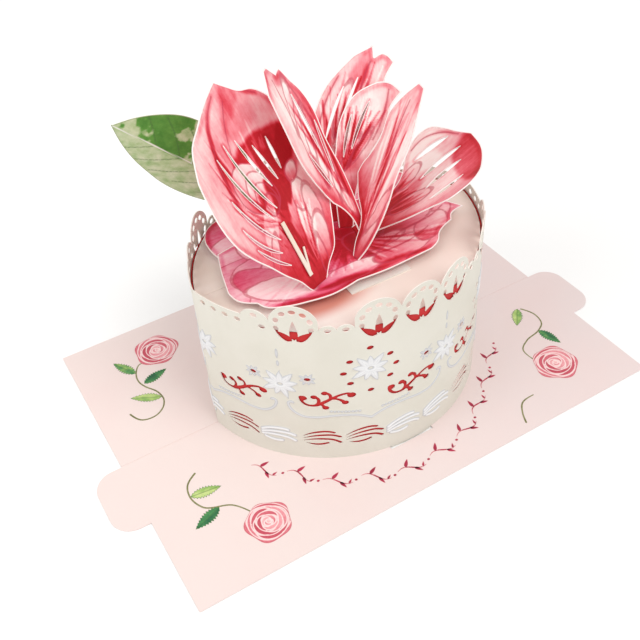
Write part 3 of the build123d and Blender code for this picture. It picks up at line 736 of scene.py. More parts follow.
def band_outline():
    lobes = [(s, scallop_pitch, scallop_spring, scallop_rise) for s in both_sides(big_places)]
    lobes += [(s, low_lobe_width, low_lobe_spring, low_lobe_rise) for s in both_sides(low_places)]
    lobes += [(s, small_lobe_width, small_lobe_spring, small_lobe_rise) for s in both_sides([small_place])]
    lobes.sort(key=lambda lobe: -lobe[0])
    bottom = [(-strip_end, 0), (-tab_half_length, 0), (-tab_half_length, -card_sheet),
              (tab_half_length, -card_sheet), (tab_half_length, 0), (strip_end, 0),
              (strip_end, flat_edge), (pattern_shift + flat_start, flat_edge)]
    top = [arc_over(pattern_shift + place, *sizes) for place, *sizes in lobes]
    points = np.vstack([bottom, *top, [(pattern_shift - flat_start, flat_edge), (-strip_end, flat_edge)]])
    return resampled(points, 1.6)


def at(place, height, shape):
    """A shape moved to its place in the pattern, which is itself shifted along the band."""
    return shape + np.array([pattern_shift + place, height])


def eyelet(place, height, heading=0.0):
    return at(place, height, turned(oval(eyelet_length, eyelet_width), heading))


def eyelet_holes():
    """Eyelets in a ring under each big lobe, under the small lobes and along the flat ends."""
    holes = []
    for place in both_sides(big_places):
        for turn in range(-15, 200, 35):
            across = eyelet_ring * math.cos(math.radians(turn))
            up = eyelet_ring * math.sin(math.radians(turn))
            holes.append(eyelet(place + across, eyelet_ring_height + up, turn + 90))
    for place in both_sides(low_places + [small_place - eyelet_length]):
        holes.append(eyelet(place, low_eyelet_height))
    for place in both_sides([small_place]):
        holes.append(eyelet(place, small_eyelet_height))
    for step in range(4):
        for place in both_sides([flat_start + flat_eyelet_pitch * (step + 0.25)]):
            if abs(place + pattern_shift) < crease_arc - eyelet_length:
                holes.append(eyelet(place, flat_eyelet_height))
    return holes


def palmette_holes():
    """Three leaves that fan from one foot under each big lobe."""
    holes = []
    for place in both_sides(big_places):
        for turn, length in palmette_leaves:
            leaf = leaf_shape(length, palmette_width) + np.array([palmette_gap, 0])
            holes.append(at(place, palmette_foot, turned(leaf, turn)))
    return holes


dot_ring_shares = [(0, 0.93), (0.72, 0.42), (0.95, -0.11), (0.72, -0.62), (0, -1.1),
                   (-0.72, -0.62), (-0.95, -0.11), (-0.72, 0.42)]
dot_pair_shares = [(0.98, 0.33), (-0.98, 0.33)]
dot_ring = 10.6


def star_place(step):
    return star_offset + star_pitch * step


def star_level(step):
    return star_height + (star_stagger if step % 2 else -star_stagger)


def dot_places():
    """The small openings round each star: place, height, and whether they make a full ring."""
    found = []
    for step in pattern_steps:
        for across, up in dot_ring_shares if step % 2 else dot_pair_shares:
            found.append((star_place(step) + across * dot_ring, star_level(step) + up * dot_ring, step % 2))
    return found


def dot_holes():
    return [eyelet(s, z) for s, z, _ in dot_places()]


scroll_lines = [
    ([(-0.93, 0.2), (-0.9, -0.04), (-0.72, -0.21), (-0.4, -0.23), (-0.08, -0.06), (0.25, 0.15), (0.55, 0.29),
      (0.8, 0.32), (0.95, 0.24)], [1.7, 1.4, 1.4, 1.7, 1.9, 1.7, 1.5, 1.4, 1.7]),
    ([(-0.42, -0.22), (-0.29, -0.06), (-0.29, 0.1), (-0.42, 0.22)], [1.2, 1.3, 1.5, 1.7]),
    ([(0.1, 0.05), (0.16, 0.2), (0.12, 0.34), (-0.03, 0.42)], [1.2, 1.3, 1.5, 1.7]),
    ([(0.2, 0.1), (0.38, 0.08), (0.54, 0.0), (0.66, -0.12)], [1.2, 1.3, 1.5, 1.7]),
    ([(-0.22, -0.18), (-0.12, -0.26), (-0.05, -0.35)], [1.2, 1.5, 1.7]),
]
scroll_balls = [(-0.86, 0.14, 1.0), (0.93, 0.22, 1.05), (-0.45, 0.21, 0.85), (-0.05, 0.41, 0.85),
                (0.69, -0.14, 0.85), (-0.04, -0.36, 0.85)]


def scroll_holes():
    """Branched scrolls with a ball at each end, halfway between the stars."""
    holes = []
    for step in pattern_steps:
        place = star_place(step) - star_pitch / 2
        for points, widths in scroll_lines:
            line = np.array(points) * scroll_half_length
            holes.append(at(place, scroll_height, stroke(line, widths, 0.7)))
        for across, up, share in scroll_balls:
            ball = oval(ball_length * share, ball_width * share, 14)
            middle = np.array([across, up]) * scroll_half_length
            holes.append(at(place, scroll_height, ball + middle))
    return holes


bar_lines = [
    [(-0.5, 0.06), (-0.3, 0.17), (-0.05, 0.24), (0.18, 0.25), (0.34, 0.2)],
    [(-0.5, -0.03), (-0.25, 0.06), (0.05, 0.11), (0.3, 0.1), (0.5, 0.02)],
    [(-0.5, -0.12), (-0.25, -0.06), (0.05, -0.04), (0.3, -0.08), (0.5, -0.2)],
    [(-0.42, -0.2), (-0.25, -0.25), (-0.02, -0.25), (0.16, -0.2)],
]
bar_widths = [0.3, 0.75, 1.0, 1.0, 0.95]


def bar_place(step):
    return bar_pitch * (step - bar_offset_share)


def bar_holes():
    """The flame shaped openings of the lower row."""
    widths = [bar_stroke * share for share in bar_widths]
    holes = []
    for step in cut_bar_steps:
        for points in bar_lines:
            line = np.array(points) * bar_length
            holes.append(at(bar_place(step), bar_height, stroke(line, widths, 1.2)))
    return holes


# Embossing: heights of relief in millimetres on the same strip

def ridge(points, line, half_width, tall):
    """A rounded ridge along a polyline."""
    away, _ = line_distance(points, line)
    return tall * np.cos(np.clip(away / half_width, 0, 1) * math.pi / 2) ** 1.5


def knob(points, middle, half_width, half_height, tall, fullness):
    """A small oval boss."""
    x, z = (points - np.array(middle)).T
    return tall * np.clip(1 - np.hypot(x / half_width, z / half_height), 0, 1) ** fullness


def star_relief(points, place, height, petals, reach, tall):
    """An embossed star of pointed petals round a small oval boss."""
    across = points - np.array([place, height])
    radius = np.hypot(across[:, 0], across[:, 1] * 1.12)
    turn = np.arctan2(across[:, 1], across[:, 0])
    best = np.zeros(len(points))
    for k in range(petals):
        heading = 2 * math.pi * (k + 0.25) / petals
        off = np.abs((turn - heading + math.pi) % (2 * math.pi) - math.pi)
        length = reach * (1.0 if k % 2 else 0.82)
        share = np.clip((radius - 0.18 * reach) / (length - 0.18 * reach), 0, 1)
        half = 0.2 * reach * np.sin(math.pi * share ** 0.6) ** 0.8
        away = radius * np.sin(np.clip(off, 0, 1.5))
        body = np.clip(1 - away / np.maximum(half, 1e-6), 0, 1) ** 0.6
        crease = 1 - 0.45 * np.exp(-(away / 0.22) ** 2)
        best = np.maximum(best, tall * body * crease * ((share > 0) & (share < 1) & (off < 1.2)))
    boss = np.hypot(across[:, 0] / (0.26 * reach), across[:, 1] / (0.18 * reach))
    return np.maximum(best, tall * 0.9 * np.exp(-((boss - 0.8) / 0.3) ** 2))


# Stars as their number of petals, reach and height, and ridges as their half width and height
big_star = (9, 8.4, 0.5)
small_star = (8, 3.9, 0.36)
swag_ridge = (0.7, 0.3)
bar_ridge = (0.95, 0.5)
swag_line = [(0, 21.3), (2, 22.4), (5, 23.8), (9, 24.7), (15, 24.9), (21, 24.2), (26, 24.6), (29, 26.4),
             (31, 29.2), (31.2, 31.6), (29.9, 32.2), (29.2, 30.9)]
bead_count = 9
bead_start = (4.5, 26.1)
bead_step = (1.35, 0.16)
bead_radius = 0.62
bead_height = 0.34
drops = ((10.6, 1.6), (15.6, 2.6))
drop_half_width = 0.55
drop_height = 0.3
relief_margin = 0.4
relief_least = 0.01


def relief_parts():
    """Each part of the relief as its middle, its reach on the strip and a function of points."""
    parts = []

    def add(middle, reach, function, *numbers):
        parts.append((middle, reach, lambda points: function(points, *numbers)))

    for step in (-3, *pattern_steps, 2):
        place, rise = star_place(step), star_level(step)
        add((place, rise), big_star[1] + 0.2, star_relief, place, rise, *big_star)
        if step % 2 == 0:
            for lift, half_height in drops:
                spot = (place, rise + lift)
                add(spot, 3.0, knob, spot, drop_half_width, half_height, drop_height, 0.6)
            continue
        for side in (-1, 1):
            line = smooth_run([(place + side * d, z) for d, z in swag_line], 0.8)
            for k in range(0, len(line) - 1, 8):
                piece = line[k:k + 9]
                add(piece.mean(0), 5.0, ridge, piece, *swag_ridge)
            for k in range(bead_count):
                spot = (place + side * (bead_start[0] + bead_step[0] * k), bead_start[1] + bead_step[1] * k)
                add(spot, 0.9, knob, spot, bead_radius, bead_radius, bead_height, 0.5)
    for s, z, ringed in dot_places():
        if not ringed:
            add((s, z), 4.2, star_relief, s, z, *small_star)
    for step in raised_bar_steps:
        for points in bar_lines:
            line = smooth_run(np.array(points) * bar_length, 1.5) + np.array([bar_place(step), bar_height])
            add(line.mean(0), 8.5, ridge, line, *bar_ridge)
    return parts


all_relief = relief_parts()


def band_relief(strip):
    points = strip - np.array([pattern_shift, 0])
    total = np.zeros(len(points))
    for (s, z), reach, function in all_relief:
        near = np.nonzero((np.abs(points[:, 0] - s) < reach) & (np.abs(points[:, 1] - z) < reach))[0]
        if len(near):
            total[near] = np.maximum(total[near], function(points[near]))
    return total


def on_band(side):
    """Bends the flat strip round the cake, at its front or at its back."""
    def place(points):
        turn = points[:, 0] / band_radius
        out = np.stack([np.sin(turn), -np.cos(turn), np.zeros(len(turn))], 1)
        where = out * band_radius
        where[:, 1] += band_centre
        where[:, 2] = card_sheet + points[:, 1]
        if side == "back":
            out[:, :2] *= -1
            where[:, :2] *= -1
        return where, out
    return place


def near_relief(points):
    """Where there is relief, with a small margin round it."""
    around = np.zeros(len(points), bool)
    for shift in ((0, 0), (1, 0), (-1, 0), (0, 1), (0, -1)):
        around |= band_relief(points + np.array(shift) * relief_margin) > relief_least
    return around


band_holes = eyelet_holes() + palmette_holes() + dot_holes() + scroll_holes() + bar_holes()
band_points, band_triangles = triangulate(band_outline(), band_holes, band_spacing, near_relief,
                                           relief_spacing)
band_raised = band_relief(band_points)
for side in ("front", "back"):
    band = sheet_piece(f"lace_{side}", band_points, band_triangles, on_band(side), lace_sheet, band_relief)
    write_field(band, "print", band_raised, *band_points.T)
    add_piece(band, [lace_ivory, lace_back, lace_rim], "lace", f"lace_band_{side}")


# The flower

def sheet_frame(foot, lean, roll=0.0):
    """A standing sheet's origin and its directions: along, across and out of its inner face."""
    heading, slope = math.radians(lean[0]), math.radians(lean[1])
    level_along = np.array([math.cos(heading), math.sin(heading), 0])
    along = level_along * math.cos(slope) + np.array([0, 0, math.sin(slope)])
    across = np.array([-math.sin(heading), math.cos(heading), 0])
    out = np.cross(along, across)
    c, s = math.cos(math.radians(roll)), math.sin(math.radians(roll))
    return np.array(foot, float), along, across * c + out * s, out * c - across * s


def on_sheet(axes, height, slope):
    """Places a sheet whose inner face is raised by a height that changes across it."""
    foot, along, across, out = axes

    def place(points):
        u, v = points[:, 0], points[:, 1]
        where = foot + u[:, None] * along + v[:, None] * across + height(v)[:, None] * out
        normal = out - slope(v)[:, None] * across
        return where, normal / np.linalg.norm(normal, axis=1)[:, None]
    return place


def bent(axes, bend, middle):
    """A sheet curved to a radius, lowest along one line."""
    def height(v):
        return bend - np.sqrt(bend ** 2 - (v - middle) ** 2)

    def slope(v):
        return (v - middle) / np.sqrt(bend ** 2 - (v - middle) ** 2)
    return on_sheet(axes, height, slope)


def creased(axes, crease, low_slope, high_slope):
    """A sheet folded along a line, with a slope in degrees on each side."""
    low, high = math.tan(math.radians(low_slope)), math.tan(math.radians(high_slope))

    def height(v):
        return np.where(v < crease, (crease - v) * low, (v - crease) * high)

    def slope(v):
        blend = np.clip((v - crease) / 0.6 + 0.5, 0, 1)
        return -low + (low + high) * blend
    return on_sheet(axes, height, slope)


def flat(axes):
    return on_sheet(axes, lambda v: np.zeros(len(v)), lambda v: np.zeros(len(v)))


def slit_shape(start, end, bow, size, width):
    """A pointed slit, bowed to one side. All but its width is in shares of the petal's size."""
    start = np.array(start) * size
    run = np.array(end) * size - start
    length = np.linalg.norm(run)
    side = np.array([-run[1], run[0]]) / length
    t = np.linspace(0, 1, 11)[:, None]
    middle = start + run * t + side * bow * size * 4 * t * (1 - t)
    half = side * width / 2 * np.sin(math.pi * t) ** 0.8
    return np.vstack([middle + half, (middle - half)[-2:0:-1]])


def near_line(points, lines, size):
    """Distance in millimetres to the nearest of some smooth drawn lines."""
    away = [line_distance(points, open_curve(np.array(line) * size, 1.0))[0] for line in lines]
    return np.minimum(np.min(away, axis=0), far_away)


far_away = 9.0


class Paint:
    """A watercolour print on a sheet, kept as numbers for each point of it.
    Tone runs from 0, pale, to 1, deep red. Lines hold the distance to the nearest drawn contour."""

    def __init__(self, points, size, seed):
        self.points = points
        self.size = size
        self.seed = seed
        self.tone = np.zeros(len(points))
        self.lines = np.full(len(points), far_away)
        self.bend = np.stack([cloud(points, 11.0, seed + k) - 0.5 for k in (60, 61)], 1)

    def wash(self, tones, across=()):
        """A ground tone that changes along the sheet, and optionally across it."""
        share = self.points / self.size
        self.tone = np.interp(share[:, 0], np.linspace(0, 1, len(tones)), tones)
        if across:
            at_v, by = zip(*across)
            self.tone = self.tone + np.interp(share[:, 1], at_v, by)

    def blot(self, u, v, length, width, turn, strength, softness=0.35, wobble=0.09):
        """A soft edged patch that pulls the tone up or down."""
        off = self.points / self.size + self.bend * wobble - np.array([u, v])
        along, aside = (turned(off, -turn) / [length, width]).T
        self.tone = self.tone + strength * step_between(1 + softness, 1 - softness, np.hypot(along, aside))

    def petal(self, u, v, length, width, turn, inner, outer, drawn=True):
        """One printed petal: a crisp oval, dark on its near side and pale on its far side."""
        off = self.points - np.array([u, v]) * self.size + self.bend * 2.4
        along, aside = (turned(off, -turn) / self.size / [length, width]).T
        radius = np.hypot(along, aside)
        away = (1 - radius) * min(length, width) * self.size
        cover = step_between(-0.35, 0.35, away)
        shade = inner + (outer - inner) * step_between(-0.9, 0.9, along)
        self.tone = self.tone * (1 - cover) + shade * cover
        if drawn:
            outside = np.minimum(self.lines, np.abs(away))
            self.lines = np.where(away > 0.3, np.minimum(away, far_away), outside)

    def rays(self, start, ends, strength, width, count):
        """Fine strokes that fan from about one place to places between two ends."""
        made = np.random.RandomState(self.seed)
        start = np.array(start) * self.size
        first, last = (np.array(end) * self.size for end in ends)
        for k in range(count):
            t = (k + made.uniform(-0.3, 0.3)) / max(1, count - 1)
            end = first + (last - first) * t
            begin = start + (end - start) * made.uniform(0.1, 0.42)
            end = begin + (end - begin) * made.uniform(0.55, 1.0)
            side = np.array([-(end - begin)[1], (end - begin)[0]]) * made.uniform(-0.05, 0.05)
            line = open_curve([begin, (begin + end) / 2 + side, end], 2.0)
            away, share = line_distance(self.points, line)
            half = width * made.uniform(0.5, 1.2) * np.sin(math.pi * np.clip(share, 0.02, 0.98)) ** 0.7
            inked = step_between(half + 0.35, half - 0.1, away)
            self.tone = self.tone + strength * made.uniform(0.5, 1.1) * inked

    def contour(self, line, strength, width):
        """A drawn line, with a soft shade along it."""
        away, share = line_distance(self.points, open_curve(np.array(line) * self.size, 1.5))
        self.lines = np.minimum(self.lines, away)
        fade = np.sin(math.pi * np.clip(share, 0.03, 0.97)) ** 0.5
        self.tone = self.tone + strength * fade * step_between(width, width * 0.2, away)

    def finished(self, edge):
        """The tone with watercolour grain and a darker line of pigment along the edge."""
        grain = cloud(np.stack([self.points[:, 0] * 0.16, self.points[:, 1]], 1), 2.4, self.seed + 5) - 0.5
        tide = cloud(self.points, 13.0, self.seed + 9) - 0.5
        pooled = np.exp(-((edge - 1.3) / 0.9) ** 2)
        patches = step_between(0.35, 0.6, cloud(self.points, 16.0, self.seed + 12))
        tone = self.tone + grain * 0.22 + tide * 0.26 + pooled * (0.05 + 0.2 * patches)
        return np.clip(tone, 0, 1)


def cut_sheet(name, outline, slits, place, spacing):
    """A die cut sheet, its points, and their distances in millimetres to its edge. The distances to
    slits count for more, so that their printed border is narrower."""
    points, triangles = triangulate(outline, slits, spacing)
    edge = distances(tree_of([outline]), points)
    if slits:
        edge = np.minimum(edge, 1.9 * distances(tree_of(slits), points))
    return sheet_piece(name, points, triangles, place, petal_sheet), points, edge


def printed_petals(name, outline, slits, place, size, paint, seed, spacing, hue=None):
    """A cut sheet with its watercolour print, and perhaps a hue that changes over it."""
    piece, points, edge = cut_sheet(name, outline, slits, place, spacing)
    brush = Paint(points, size, seed)
    paint(brush)
    write_field(piece, "print", brush.finished(edge), brush.lines, edge)
    write_field(piece, "sheet", *points.T, np.zeros(len(points)) if hue is None else hue(points))
    return piece


def paint_left(brush):
    brush.wash([0.92, 0.85, 0.68, 0.46, 0.34, 0.32, 0.34, 0.3, 0.2, 0.26],
               [(0.2, 0.0), (0.33, -0.1), (0.42, -0.24)])
    brush.blot(0.83, 0.0, 0.1, 0.1, 0, 0.16)
    brush.blot(0.93, -0.03, 0.035, 0.12, 60, 0.2)
    brush.blot(0.62, -0.03, 0.1, 0.17, 8, 0.6, 0.14, 0.05)
    brush.blot(0.58, -0.14, 0.12, 0.045, -20, 0.35, 0.25, 0.05)
    brush.rays((0.12, 0.06), ((0.72, 0.37), (0.9, 0.12)), 0.24, 0.6, 9)
    brush.rays((0.16, 0.08), ((0.66, 0.36), (0.88, 0.08)), -0.26, 0.5, 9)
    brush.petal(0.53, 0.11, 0.12, 0.1, 25, 0.8, 0.08)
    brush.petal(0.49, 0.075, 0.1, 0.075, 15, 0.95, 0.14)
    brush.petal(0.455, 0.07, 0.075, 0.055, 5, 1.0, 0.22)
    brush.petal(0.43, 0.055, 0.045, 0.032, 0, 1.0, 0.4)
    brush.blot(0.46, -0.01, 0.075, 0.062, 0, 1.0, 0.25, 0.05)
    brush.blot(0.54, -0.04, 0.1, 0.05, 10, 0.5, 0.35, 0.05)
    brush.blot(0.34, 0.03, 0.12, 0.035, -10, 0.45, 0.4, 0.05)
    brush.blot(0.66, 0.19, 0.16, 0.05, -14, 0.22, 0.5, 0.05)
    brush.petal(0.39, -0.1, 0.075, 0.042, -12, 0.62, 0.15)
    brush.petal(0.5, -0.115, 0.05, 0.028, -25, 0.7, 0.2)
    brush.petal(0.3, -0.13, 0.12, 0.035, -8, 0.5, 0.18)
    brush.petal(0.17, -0.1, 0.12, 0.04, -16, 0.62, 0.2)
    brush.petal(0.1, -0.06, 0.1, 0.022, -10, 0.9, 0.4)
    brush.rays((0.03, -0.01), ((0.42, -0.17), (0.5, -0.06)), -0.3, 0.5, 9)
    brush.rays((0.03, 0.0), ((0.4, -0.14), (0.42, 0.12)), 0.35, 0.5, 11)
    brush.petal(0.3, -0.02, 0.1, 0.016, 0, 0.75, 0.32, False)
    brush.petal(0.37, 0.1, 0.09, 0.028, -24, 0.35, 0.1, False)
    brush.petal(0.33, 0.16, 0.1, 0.03, -30, 0.3, 0.12, False)
    brush.petal(0.24, 0.19, 0.1, 0.026, -38, 0.7, 0.25)
    brush.rays((0.3, 0.02), ((0.42, 0.28), (0.62, 0.1)), 0.35, 0.7, 9)
    brush.rays((0.42, 0.0), ((0.78, 0.1), (0.8, -0.1)), -0.22, 0.5, 8)
    brush.contour([(0.94, 0.06), (0.85, 0.16), (0.74, 0.205), (0.62, 0.23), (0.48, 0.235)], 0.5, 1.5)
    brush.contour([(0.9, 0.02), (0.8, 0.08), (0.7, 0.12)], 0.14, 2.0)
    brush.contour([(0.93, -0.06), (0.9, -0.09), (0.86, -0.14)], 0.4, 1.6)


def paint_slim_left(brush):
    brush.wash([0.85, 0.66, 0.48, 0.36, 0.28, 0.24, 0.24, 0.28, 0.4],
               [(0.04, 0.16), (0.09, 0.0), (0.14, -0.08), (0.18, -0.12), (0.28, -0.04)])
    brush.blot(0.93, 0.15, 0.05, 0.035, 0, 0.25)
    brush.petal(0.8, 0.13, 0.13, 0.022, -8, 0.2, 0.02)
    brush.petal(0.64, 0.09, 0.13, 0.018, -6, 0.45, 0.06)
    brush.petal(0.5, 0.075, 0.12, 0.02, -8, 0.55, 0.08)
    brush.petal(0.38, 0.04, 0.1, 0.016, -4, 0.6, 0.1)
    brush.petal(0.24, 0.01, 0.08, 0.02, 12, 0.35, 0.12)
    brush.rays((0.12, -0.01), ((0.92, 0.03), (0.95, 0.2)), 0.22, 0.5, 11)
    brush.rays((0.1, 0.0), ((0.8, 0.05), (0.95, 0.25)), -0.24, 0.45, 12)
    brush.contour([(0.9, 0.1), (0.7, 0.045), (0.5, 0.035), (0.3, 0.0)], 0.22, 1.2)
    brush.contour([(0.95, 0.2), (0.75, 0.16), (0.55, 0.135), (0.4, 0.09)], 0.1, 1.2)


def paint_back_outer(brush):
    brush.wash([0.9, 0.8, 0.6, 0.4, 0.26, 0.16, 0.1, 0.1, 0.18, 0.3])
    brush.blot(0.82, -0.25, 0.12, 0.05, -25, 0.28)
    brush.blot(0.5, -0.03, 0.16, 0.05, -8, 0.3)
    brush.petal(0.66, -0.16, 0.16, 0.035, -22, 0.5, 0.1)
    brush.petal(0.55, -0.24, 0.16, 0.03, -24, 0.6, 0.12)
    brush.rays((0.25, -0.05), ((0.85, -0.06), (0.9, -0.36)), 0.38, 0.55, 12)
    brush.rays((0.25, -0.05), ((0.82, -0.04), (0.88, -0.4)), -0.35, 0.45, 12)
    brush.contour([(0.9, -0.33), (0.84, -0.3), (0.76, -0.27)], 0.3, 1.4)
    brush.contour([(0.84, -0.16), (0.72, -0.08), (0.55, -0.01)], 0.25, 1.2)


def paint_back_inner(brush):
    brush.wash([0.95, 0.9, 0.8, 0.5, 0.26, 0.16, 0.12, 0.06, 0.04, 0.12],
               [(-0.46, 0.1), (-0.4, 0.08), (-0.34, -0.02)])
    brush.blot(0.5, -0.14, 0.1, 0.08, 0, 0.3)
    brush.petal(0.68, -0.25, 0.22, 0.085, -28, 0.3, 0.0, False)
    brush.petal(0.52, -0.15, 0.14, 0.03, -30, 0.6, 0.12)
    brush.petal(0.56, -0.22, 0.14, 0.026, -36, 0.5, 0.1)
    brush.rays((0.35, -0.08), ((0.92, -0.14), (0.86, -0.44)), 0.5, 0.55, 17)
    brush.rays((0.4, -0.1), ((0.9, -0.1), (0.9, -0.42)), -0.35, 0.45, 16)
    brush.contour([(0.93, -0.42), (0.84, -0.4), (0.72, -0.36), (0.6, -0.3)], 0.2, 1.0)


def paint_slim_right(brush):
    brush.wash([0.95, 0.92, 0.86, 0.74, 0.5, 0.32, 0.22, 0.17, 0.15, 0.18, 0.26],
               [(-0.08, -0.3), (-0.03, -0.22), (0.02, 0.0), (0.3, 0.0)])
    brush.rays((0.1, 0.02), ((0.95, 0.02), (0.9, 0.17)), 0.26, 0.5, 14)
    brush.rays((0.05, 0.0), ((0.8, -0.02), (0.75, 0.2)), -0.3, 0.4, 12)
    brush.petal(0.12, -0.045, 0.14, 0.03, -8, 0.62, 0.3)
    brush.petal(0.3, -0.04, 0.16, 0.026, -8, 0.5, 0.2)
    brush.contour([(0.9, 0.1), (0.7, 0.09), (0.5, 0.05), (0.3, 0.02)], 0.12, 1.0)


def paint_right(brush):
    brush.wash([0.95, 0.9, 0.78, 0.5, 0.28, 0.18, 0.16, 0.2, 0.3, 0.4],
               [(-0.4, 0.2), (-0.3, 0.12), (-0.2, 0.0), (0.08, 0.0), (0.2, -0.2), (0.3, -0.25)])
    brush.blot(0.93, -0.2, 0.17, 0.28, -10, 0.42, 0.12, 0.05)
    brush.blot(0.66, 0.06, 0.1, 0.06, 10, -0.25)
    brush.blot(0.35, -0.05, 0.2, 0.05, 0, 0.35)
    brush.petal(0.42, -0.13, 0.17, 0.06, -14, 0.62, 0.24)
    brush.petal(0.5, 0.07, 0.12, 0.05, 12, 0.4, 0.1)
    brush.rays((0.05, 0.0), ((0.6, 0.12), (0.6, -0.26)), 0.4, 0.6, 10)
    brush.contour([(0.62, 0.235), (0.74, 0.25), (0.85, 0.2), (0.93, 0.1)], 0.3, 1.3)


petals = {
    "left_petal": dict(
        size=80.0, foot=(-19.0, -21.0), lean=(115, 60), shape=(bent, 60.0, 5.0), slit_width=1.0,
        paint=paint_left,
        outline=[
            [(-0.01, 0.08), (0.07, 0.13), (0.14, 0.19), (0.22, 0.25), (0.3, 0.32), (0.4, 0.39), (0.5, 0.42),
             (0.6, 0.42), (0.7, 0.4)],
            [(0.76, 0.36), (0.806, 0.325), (0.875, 0.21), (0.921, 0.135), (0.985, 0.014)],
            [(0.943, -0.032), (0.904, -0.077), (0.882, -0.136), (0.82, -0.188)],
            [(0.6, -0.25), (0.42, -0.26), (0.26, -0.205)],
            [(0.16, -0.165), (0.1, -0.135), (0.04, -0.06), (-0.02, 0.0)],
        ],
        slits=[
            ((0.4, 0.04), (0.75, 0.135), 0.02), ((0.49, 0.005), (0.74, 0.065), 0.005),
            ((0.5, -0.04), (0.68, -0.005), 0.0), ((0.53, -0.08), (0.68, -0.085), 0.0),
            ((0.37, 0.085), (0.72, 0.21), 0.02), ((0.28, 0.11), (0.55, 0.26), 0.02),
            ((0.23, 0.14), (0.43, 0.29), 0.02), ((0.16, 0.13), (0.32, 0.27), 0.01),
        ],
    ),
    "slim_left_petal": dict(
        size=77.0, foot=(4.0, -11.0), lean=(120, 70), shape=(creased, 9.5, 12, 14), slit_width=0.9,
        paint=paint_slim_left,
        outline=[
            [(0.08, 0.018), (0.16, 0.028), (0.229, 0.058), (0.289, 0.101)],
            [(0.353, 0.131), (0.446, 0.184), (0.548, 0.229), (0.743, 0.26), (0.913, 0.282)],
            [(1.008, 0.245)], [(1.012, 0.213)], [(0.955, 0.15)], [(0.968, 0.109)], [(0.895, 0.075)],
            [(0.83, 0.04), (0.738, 0.014), (0.582, 0.006), (0.409, -0.02), (0.283, -0.03)],
            [(0.12, -0.03), (-0.02, -0.02)], [(-0.02, 0.025)],
        ],
        slits=[
            ((0.55, 0.06), (0.84, 0.1), 0.0), ((0.42, 0.03), (0.68, 0.03), 0.0),
            ((0.36, 0.07), (0.56, 0.13), 0.0),
        ],
    ),
    "back_petal_outer": dict(
        size=66.0, foot=(0.0, 8.0), lean=(75, 75), shape=(bent, 45.0, 0.0), slit_width=0.9,
        paint=paint_back_outer,
        outline=[
            [(0.15, 0.05), (0.4, 0.05), (0.67, -0.01), (0.8, -0.09), (0.87, -0.165), (0.94, -0.25)],
            [(0.985, -0.35)], [(0.92, -0.35)], [(0.94, -0.39), (0.89, -0.44)],
            [(0.82, -0.4), (0.7, -0.36), (0.5, -0.3), (0.25, -0.18), (-0.03, -0.1)],
            [(-0.03, 0.03)],
        ],
        slits=[((0.5, -0.05), (0.78, -0.18), 0.006), ((0.45, -0.1), (0.82, -0.26), 0.006)],
    ),
    "back_petal_inner": dict(
        size=55.0, foot=(1.0, 3.0), lean=(70, 72), shape=(bent, 40.0, 0.0), slit_width=0.9,
        paint=paint_back_inner,
        outline=[
            [(0.3, -0.02), (0.55, -0.05), (0.75, -0.1), (0.9, -0.2), (0.98, -0.36)],
            [(0.975, -0.42), (0.91, -0.49)],
            [(0.82, -0.425), (0.7, -0.39), (0.6, -0.34), (0.5, -0.275), (0.3, -0.18), (-0.03, -0.12)],
            [(-0.03, -0.02)],
        ],
        slits=[((0.55, -0.16), (0.86, -0.3), 0.009), ((0.5, -0.1), (0.78, -0.18), 0.007)],
    ),
    "slim_right_petal": dict(
        size=66.0, foot=(-3.0, -15.0), lean=(0, 60), shape=(flat,), slit_width=0.0,
        paint=paint_slim_right,
        outline=[
            [(0.08, 0.03), (0.16, 0.045), (0.22, 0.075), (0.3, 0.165), (0.4, 0.245)],
            [(0.46, 0.24), (0.53, 0.215), (0.63, 0.195), (0.784, 0.209), (0.92, 0.15)],
            [(1.0, 0.093)], [(0.99, 0.04)],
            [(0.86, 0.0), (0.72, -0.04), (0.5, -0.056), (0.39, -0.08), (0.2, -0.092), (0.08, -0.08),
             (-0.03, -0.045)],
            [(-0.03, -0.02)],
        ],
        slits=[],
    ),
    "right_petal": dict(
        size=57.0, foot=(6.0, -2.0), lean=(-14, 33), shape=(bent, 50.0, -2.0), slit_width=2.1,
        paint=paint_right,
        outline=[
            [(0.2, 0.05), (0.43, 0.1), (0.61, 0.26), (0.733, 0.3), (0.81, 0.29), (0.896, 0.2), (0.93, 0.14)],
            [(1.0, 0.034)],
            [(0.991, -0.139), (0.938, -0.29), (0.88, -0.4), (0.78, -0.48), (0.66, -0.48), (0.5, -0.37),
             (0.33, -0.275), (0.15, -0.17), (-0.03, -0.08)],
            [(-0.03, 0.04)],
        ],
        slits=[
            ((0.6, 0.155), (0.87, 0.14), 0.009), ((0.56, -0.01), (0.89, 0.0), 0.009),
            ((0.55, -0.125), (0.84, -0.115), 0.009), ((0.53, -0.26), (0.79, -0.28), -0.012),
        ],
    ),
}

for seed, (node, petal) in enumerate(petals.items(), 1):
    size = petal["size"]
    axes = sheet_frame((*petal["foot"], stand_height), petal["lean"])
    shape, *numbers = petal["shape"]
    slits = [slit_shape(*slit, size, petal["slit_width"]) for slit in petal["slits"]]
    piece = printed_petals(f"{node}_print", closed_outline(petal["outline"], size), slits,
                           shape(axes, *numbers), size, petal["paint"], seed, petal_spacing)
    trim_foot(piece, stand_height)
    add_piece(piece, petal_sides, "petals", node)


# The rosette's two layers

def level(height):
    """Places a flat sheet at a height."""
    def place(points):
        where = np.stack([points[:, 0], points[:, 1], np.full(len(points), height)], 1)
        return where, np.tile([0.0, 0.0, 1.0], (len(points), 1))
    return place


